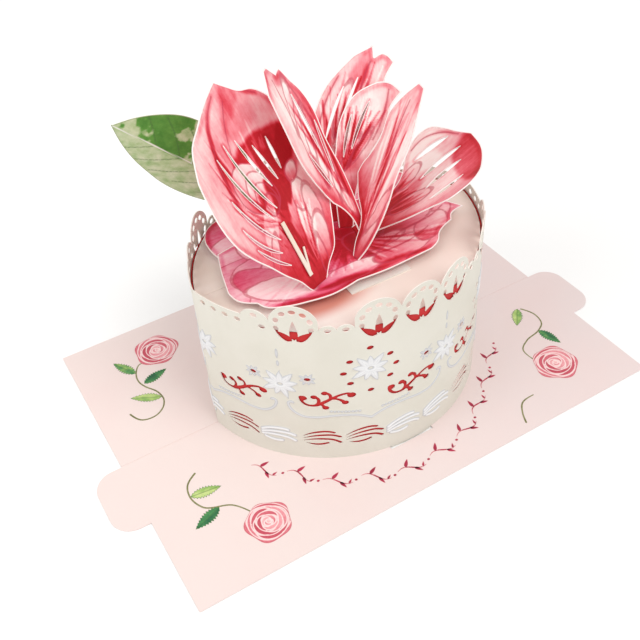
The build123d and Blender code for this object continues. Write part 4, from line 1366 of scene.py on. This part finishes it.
def rose_rings(brush, middle, rings, squeeze):
    """Rings of overlapping printed petals, from the outside in. A ring is its reach, petals, length,
    width, turn in degrees and tones at the petal's inner and outer ends, all in shares of the size."""
    for reach, count, length, width, first, inner, outer in rings:
        for k in range(count):
            turn = first + 360.0 * k / count
            a = math.radians(turn)
            u = middle[0] + reach * math.cos(a)
            v = middle[1] + reach * squeeze * math.sin(a)
            heading = math.degrees(math.atan2(squeeze * math.sin(a), math.cos(a)))
            brush.petal(u, v, length, width, heading, inner, outer)


def paint_rosette(brush):
    brush.wash([0.5, 0.5])
    rose_rings(brush, (0.0, -0.1), [
        (0.8, 9, 0.34, 0.25, 20, 0.64, 0.2), (0.6, 8, 0.32, 0.22, 0, 0.85, 0.26),
        (0.42, 7, 0.27, 0.18, 25, 0.95, 0.36), (0.26, 5, 0.2, 0.14, 10, 1.0, 0.55),
    ], 0.55)
    brush.blot(0.0, -0.12, 0.45, 0.16, 0, 0.2)
    brush.petal(-0.72, -0.22, 0.26, 0.16, 120, 0.3, 0.62)
    brush.petal(-0.56, -0.36, 0.36, 0.13, -24, 0.2, 0.04)
    brush.petal(-0.16, -0.44, 0.3, 0.085, 4, 0.5, 0.1)
    brush.petal(0.3, -0.4, 0.26, 0.1, 8, 0.6, 0.16)
    brush.petal(0.62, -0.3, 0.2, 0.1, 30, 0.6, 0.2)
    brush.petal(0.5, -0.16, 0.26, 0.07, 12, 0.85, 0.3)
    brush.petal(0.2, -0.26, 0.22, 0.06, 4, 0.95, 0.4)
    brush.blot(-0.4, -0.52, 0.5, 0.05, -4, 0.5, 0.5)
    brush.blot(0.1, -0.5, 0.3, 0.035, 0, 0.35, 0.5)
    brush.rays((0.0, -0.1), ((-0.9, -0.45), (0.9, -0.45)), 0.22, 0.8, 14)
    brush.rays((0.0, -0.1), ((-0.8, -0.5), (0.9, -0.4)), -0.2, 0.6, 14)
    brush.contour([(0.2, -0.3), (0.4, -0.24), (0.7, -0.2), (0.85, -0.14)], 0.2, 0.9)
    brush.contour([(-0.1, -0.3), (0.1, -0.36), (0.4, -0.36), (0.6, -0.3)], 0.2, 0.9)


rosette_half_length = 52.0
rosette_front = 30.0
rosette_back = 38.0
rosettes = {
    "rosette_lower": dict(
        across=rosette_back, top=rosette_under + rosette_sheet,
        outline=[
            [(-0.7, 0.93), (-0.8, 0.84), (-0.86, 0.7), (-0.88, 0.5), (-0.84, 0.25), (-0.72, 0.1)],
            [(-0.74, -0.3), (-0.5, -0.5), (-0.2, -0.62), (0.2, -0.6), (0.6, -0.45), (0.72, -0.1)],
            [(0.86, 0.1), (0.92, 0.35), (0.84, 0.62), (0.68, 0.75), (0.52, 0.72)],
            [(0.4, 0.92), (0.2, 1.04), (0.02, 0.98), (-0.06, 0.84)],
            [(-0.2, 1.02), (-0.36, 1.04), (-0.46, 0.9)],
            [(-0.5, 0.98), (-0.58, 0.95)],
        ],
    ),
    "rosette_upper": dict(
        across=rosette_front, top=rosette_under + 2 * rosette_sheet,
        outline=[
            [(-0.92, 0.2), (-0.97, -0.12), (-0.99, -0.26)],
            [(-0.97, -0.46), (-0.87, -0.62)],
            [(-0.85, -0.72), (-0.71, -0.87), (-0.56, -0.94), (-0.42, -0.98), (-0.17, -0.93)],
            [(0.05, -0.96), (0.25, -0.95), (0.46, -0.93)],
            [(0.56, -0.84), (0.62, -0.72), (0.79, -0.58)],
            [(0.84, -0.47), (0.97, -0.42)],
            [(0.9, -0.2), (0.82, 0.0), (0.7, 0.3)],
            [(0.4, 0.5), (0.0, 0.55), (-0.4, 0.62), (-0.86, 0.5)],
        ],
    ),
}


def rosette_hue(points):
    """The rosette's left side and rim are printed more magenta."""
    left = step_between(10.0, -45.0, points[:, 0])
    return np.clip(0.35 + 0.45 * left + (cloud(points, 18.0, 77) - 0.5) * 0.8, 0, 1)


for seed, (node, layer) in enumerate(rosettes.items(), 20):
    stretch = np.array([rosette_half_length, layer["across"]])
    piece = printed_petals(f"{node}_print", closed_outline(layer["outline"], stretch), [],
                           level(layer["top"]), rosette_half_length, paint_rosette, seed,
                           rosette_spacing, rosette_hue)
    add_piece(piece, petal_sides, "petals", node)


# The leaf

leaf_run = 78.0
leaf_axes = sheet_frame((-15.0, 38.0, stand_height), (184.5, 46.0), 68.0)
leaf_outline = [
    [(0.1, -0.12), (0.3, -0.185), (0.5, -0.19), (0.62, -0.165), (0.71, -0.14), (0.83, -0.09), (0.97, -0.01)],
    [(0.89, 0.08), (0.81, 0.14), (0.72, 0.185), (0.63, 0.205), (0.58, 0.208), (0.46, 0.19), (0.36, 0.18),
     (0.26, 0.16), (0.12, 0.09), (-0.02, 0.03)],
    [(-0.02, -0.03)],
]
leaf_under_outline = [
    [(0.1, 0.0), (0.5, 0.01)], [(0.6, 0.19)],
    [(0.48, 0.22), (0.39, 0.215), (0.3, 0.19), (0.24, 0.165), (0.12, 0.1), (-0.02, 0.04)],
    [(-0.02, 0.0)],
]
midrib = [(0.0, 0.0), (0.3, 0.01), (0.6, 0.005), (0.97, -0.01)]
side_veins = [[(u, 0.005), (u + 0.1, side * 0.09), (u + 0.2, side * 0.15)]
              for u in (0.12, 0.27, 0.42, 0.57, 0.72) for side in (-1, 1)]
leaves = (("leaf_upper", leaf_outline, 0.0), ("leaf_under", leaf_under_outline, petal_sheet + stand_gap))

for seed, (node, runs, drop) in enumerate(leaves, 30):
    foot, along, across, out = leaf_axes
    place = creased((foot - drop * out, along, across, out), 0.0, 14.0, 10.0)
    outline = closed_outline(runs, leaf_run)
    piece, points, edge = cut_sheet(f"{node}_print", outline, [], place, leaf_spacing)
    vein = near_line(points, side_veins, leaf_run)
    rib = near_line(points, [midrib], leaf_run)
    dark_half = step_between(-0.4, 0.6, points[:, 1])
    pale_patch = step_between(0.455, 0.485, cloud(points, 9.0, seed + 10))
    dark = 0.19 + (0.55 - 0.5 * pale_patch) * dark_half + (cloud(points, 5.0, seed) - 0.5) * 0.3
    write_field(piece, "print", dark, vein, edge)
    write_field(piece, "sheet", *points.T, rib)
    trim_foot(piece, stand_height)
    add_piece(piece, [leaf_front, leaf_front, leaf_rim], "leaf", node)


# Rose sprigs and a running flourish printed on the card, as thin layers of ink

ink = 0.03
stem_widths = [0.5, 0.65, 0.7, 0.65, 0.8]
vine_length = 15.0
vine_wave = 1.7
vine_widths = [0.2, 0.55, 0.75, 0.5, 0.25]
vine_leaves = ((0.3, 1, 4.2), (0.52, -1, 3.8), (0.72, 1, 2.6))


def printed_shapes(name, shapes, layer, spacing, material):
    """Printed shapes in one piece. A shape is an outline on its own plane, its place and turn on the card,
    and the function that paints it."""
    places, triangles, prints, sheets = [], [], [], []
    start = 0
    for seed, (outline, (x, y, heading), painted) in enumerate(shapes, 50):
        points, made = triangulate(outline, [], spacing)
        prints.append(np.stack(painted(points, distances(tree_of([outline], 0.1), points), seed), 1))
        sheets.append(points + np.array([x, y]))
        places.append(turned(points, heading) + np.array([x, y]))
        triangles.append(made + start)
        start += len(points)
    thickness = ink * (layer + 1)
    place = level(card_sheet + thickness)
    piece = sheet_piece(name, np.vstack(places), np.vstack(triangles), place, thickness)
    write_field(piece, "print", *np.vstack(prints).T)
    write_field(piece, "sheet", *np.vstack(sheets).T, np.zeros(start))
    add_piece(piece, [material] * 3, "card")


def rose_outline(radius):
    turn = np.linspace(0, 2 * math.pi, 64, endpoint=False)
    reach = radius * (0.95 + 0.05 * np.cos(5 * turn + 0.6) + 0.02 * np.cos(3 * turn))
    return np.stack([reach * np.cos(turn), reach * 0.97 * np.sin(turn)], 1)


# Each crescent is a round petal laid over the ones before it: how far out, how large, which way, its tones
rose_crescents = [
    (0.1, 0.9, 30, 0.75, 0.7), (0.13, 0.82, 160, 0.6, 0.5), (0.13, 0.79, 275, 0.85, 0.75),
    (0.1, 0.74, 20, 0.6, 0.36), (0.15, 0.64, 120, 0.9, 0.7), (0.13, 0.6, 215, 0.95, 0.8),
    (0.12, 0.54, 320, 0.55, 0.3), (0.12, 0.47, 60, 0.85, 0.6), (0.1, 0.42, 170, 0.95, 0.75),
    (0.09, 0.36, 275, 0.5, 0.3), (0.07, 0.3, 20, 0.7, 0.4), (0.06, 0.24, 130, 0.45, 0.2),
    (0.04, 0.18, 240, 0.6, 0.3), (0.03, 0.11, 350, 0.2, 0.0),
]


def paint_rose(radius):
    def painted(points, edge, seed):
        brush = Paint(points, radius, seed)
        brush.bend = brush.bend * 0.25
        brush.wash([0.55, 0.55])
        for reach, size, turn, inner, outer in rose_crescents:
            a = math.radians(turn)
            brush.petal(reach * math.cos(a), reach * math.sin(a), size * 0.86, size, turn, inner, outer)
        return np.clip(brush.tone, 0, 1), brush.lines, edge
    return painted


def paint_leaf(darkness):
    def painted(points, edge, seed):
        vein = np.abs(points[:, 1]) + 0.12
        shade = darkness + 0.08 * np.sign(points[:, 1]) + (cloud(points, 2.0, seed) - 0.5) * 0.5
        return shade, vein, edge
    return painted


def paint_ink(points, edge, seed):
    return cloud(points, 5.0, seed), np.full(len(points), far_away), edge


def serrated_leaf(length, width):
    """A lance shaped leaf with a toothed edge."""
    t = np.linspace(0, 1, 23)
    half = width / 2 * np.sin(math.pi * t ** 0.8) ** 0.9 * np.where(np.arange(23) % 2, 0.74, 1.1)
    return mirrored(length, half)


def leaf_between(start, end, width, darkness):
    (x, y), (x_end, y_end) = start, end
    heading = math.degrees(math.atan2(y_end - y, x_end - x))
    return serrated_leaf(math.hypot(x_end - x, y_end - y), width), (x, y, heading), paint_leaf(darkness)


roses = [(-66.9, 54.9, 10.2), (-67.8, -54.6, 9.4), (76.0, -51.0, 10.2)]
stems = [
    [(-71.5, 49.0), (-76.9, 50.4), (-80.2, 46.3), (-81.2, 39.7), (-80.3, 36.8), (-76.6, 30.0), (-76.1, 24.8),
     (-78.0, 20.8), (-82.8, 17.8), (-88.4, 18.7), (-91.6, 24.4)],
    [(-70.5, -48.5), (-75.5, -40.9), (-85.7, -35.4), (-87.9, -28.9), (-86.5, -23.0), (-81.6, -19.1)],
    [(69.5, -44.0), (69.9, -37.1), (75.2, -33.6), (83.7, -31.5), (87.9, -28.8), (89.5, -22.4), (86.8, -16.0)],
    [(55.5, -60.1), (48.7, -61.2), (45.4, -65.1), (43.1, -70.0)],
]
sprig_leaves = [
    ((-80.6, 46.0), (-86.8, 57.6), 5.0, 0.5), ((-79.7, 38.1), (-67.8, 41.3), 5.0, 0.8),
    ((-76.3, 26.5), (-88.1, 33.1), 5.0, 0.2), ((-87.7, -28.5), (-75.4, -30.2), 5.0, 0.2),
    ((-80.4, -38.8), (-92.2, -43.0), 5.2, 0.8), ((83.7, -31.5), (86.4, -43.0), 5.0, 0.8),
    ((85.4, -15.0), (77.8, -23.8), 5.0, 0.2),
]
flourish_arc = [(-62.6, -27.2), (-58.5, -32.2), (-47.2, -42.5), (-39.2, -51.8), (-28.4, -56.5),
                (-14.7, -62.8), (-0.2, -63.4), (14.1, -61.8), (23.4, -58.7), (32.9, -51.9), (43.1, -44.1),
                (53.7, -34.1), (65.7, -23.0)]


def flourish_shapes():
    """Short waving vines with a pair of leaves and a bud each, one after the other along an arc."""
    base = open_curve(flourish_arc, 0.8)
    run = np.concatenate([[0], np.cumsum(np.linalg.norm(np.diff(base, axis=0), axis=1))])
    along = np.gradient(base, axis=0)
    along /= np.linalg.norm(along, axis=1)[:, None]
    side = np.stack([-along[:, 1], along[:, 0]], 1)
    wave = base + side * vine_wave * np.sin(run * 2 * math.pi / vine_length)[:, None]
    shapes = []
    for k in range(int(run[-1] / vine_length)):
        first, last = vine_length * (k + 0.06), vine_length * (k + 0.86)
        line = wave[(run >= first) & (run <= last)]
        shapes.append((stroke(line, vine_widths, 0.8), (0, 0, 0), paint_ink))
        for share, way, length in vine_leaves:
            k_at = np.searchsorted(run, vine_length * (k + share))
            x, y = wave[k_at]
            heading = math.degrees(math.atan2(along[k_at, 1], along[k_at, 0])) + way * 52
            shapes.append((leaf_shape(length, length * 0.36), (x, y, heading), paint_ink))
        k_at = min(len(run) - 1, np.searchsorted(run, vine_length * (k + 0.95)))
        shapes.append((oval(1.3, 1.1, 12), (*wave[k_at], 0), paint_ink))
    return shapes


stem_shapes = [(stroke(line, stem_widths), (0, 0, 0), paint_ink) for line in stems]
leaf_shapes = [leaf_between(*leaf) for leaf in sprig_leaves]
rose_shapes = [(rose_outline(r), (x, y, 30 * k), paint_rose(r)) for k, (x, y, r) in enumerate(roses)]
printed_shapes("sprig_stems", stem_shapes, 0, 0.5, stem_ink)
printed_shapes("sprig_leaves", leaf_shapes, 1, 0.35, sprig_green)
printed_shapes("sprig_roses", rose_shapes, 2, 0.34, rose_ink)
printed_shapes("flourish", flourish_shapes(), 0, 0.4, red_ink)


# Floor, lights and camera

def make_floor(reach=3.0):
    mesh = bpy.data.meshes.new("floor")
    corners = [(x * reach, y * reach, 0) for x, y in ((-1, -1), (1, -1), (1, 1), (-1, 1))]
    mesh.from_pydata(corners, [], [(0, 1, 2, 3)])
    mesh.materials.append(Nodes("floor_white").finish((0.93, 0.93, 0.93), 0.8, 0.0))
    floor = add_object("floor", mesh)
    floor.location.z = -0.0002


def make_world(strength):
    world = bpy.data.worlds.new("studio")
    world.use_nodes = True
    background = world.node_tree.nodes["Background"]
    background.inputs["Color"].default_value = (1.0, 0.99, 0.98, 1)
    background.inputs["Strength"].default_value = strength
    bpy.context.scene.world = world


def add_light(name, kind, power, colour, place, aim):
    """A light at a place, turned to what it shines at."""
    data = bpy.data.lights.new(name, kind)
    data.energy = power
    data.color = colour
    light = add_object(name, data)
    light.location = place
    light.rotation_euler = (Vector(aim) - Vector(place)).to_track_quat("-Z", "Y").to_euler()
    return data


def sun_light(name, heading, height, power, softness, colour):
    """A sun as soft as an angle in degrees, which stands at a heading and a height in degrees."""
    a, h = math.radians(heading), math.radians(height)
    toward = (math.cos(a) * math.cos(h), math.sin(a) * math.cos(h), math.sin(h))
    add_light(name, "SUN", power, colour, toward, (0, 0, 0)).angle = math.radians(softness)


def area_light(name, place, size, power, colour, aim=(0, 0, 0.05)):
    """A round soft light of a diameter."""
    data = add_light(name, "AREA", power, colour, place, aim)
    data.shape = "DISK"
    data.size = size


make_floor()
make_world(0.765)
sun_light("key", -70.0, 50.0, 1.25, 35.0, (1.0, 0.985, 0.96))
area_light("fill", (-0.6, -0.05, 0.5), 0.5, 1.7, (1.0, 0.99, 0.98))

camera_place = Vector((-134.16, -230.29, 268.16)) * MM
camera_right = Vector((0.857, -0.513, -0.053))
camera_ahead = Vector((0.35, 0.653, -0.671)).normalized()
camera_up = camera_right.cross(camera_ahead).normalized()
camera_right = camera_ahead.cross(camera_up)
camera_data = bpy.data.cameras.new("camera")
camera_data.lens = 48.03
camera_data.sensor_width = 36.0
camera = add_object("camera", camera_data)
turn = Matrix((camera_right, camera_up, -camera_ahead)).transposed()
camera.matrix_world = Matrix.Translation(camera_place) @ turn.to_4x4()
camera_data.clip_start = 0.01
bpy.context.scene.camera = camera
bpy.context.scene.view_settings.view_transform = "Standard"
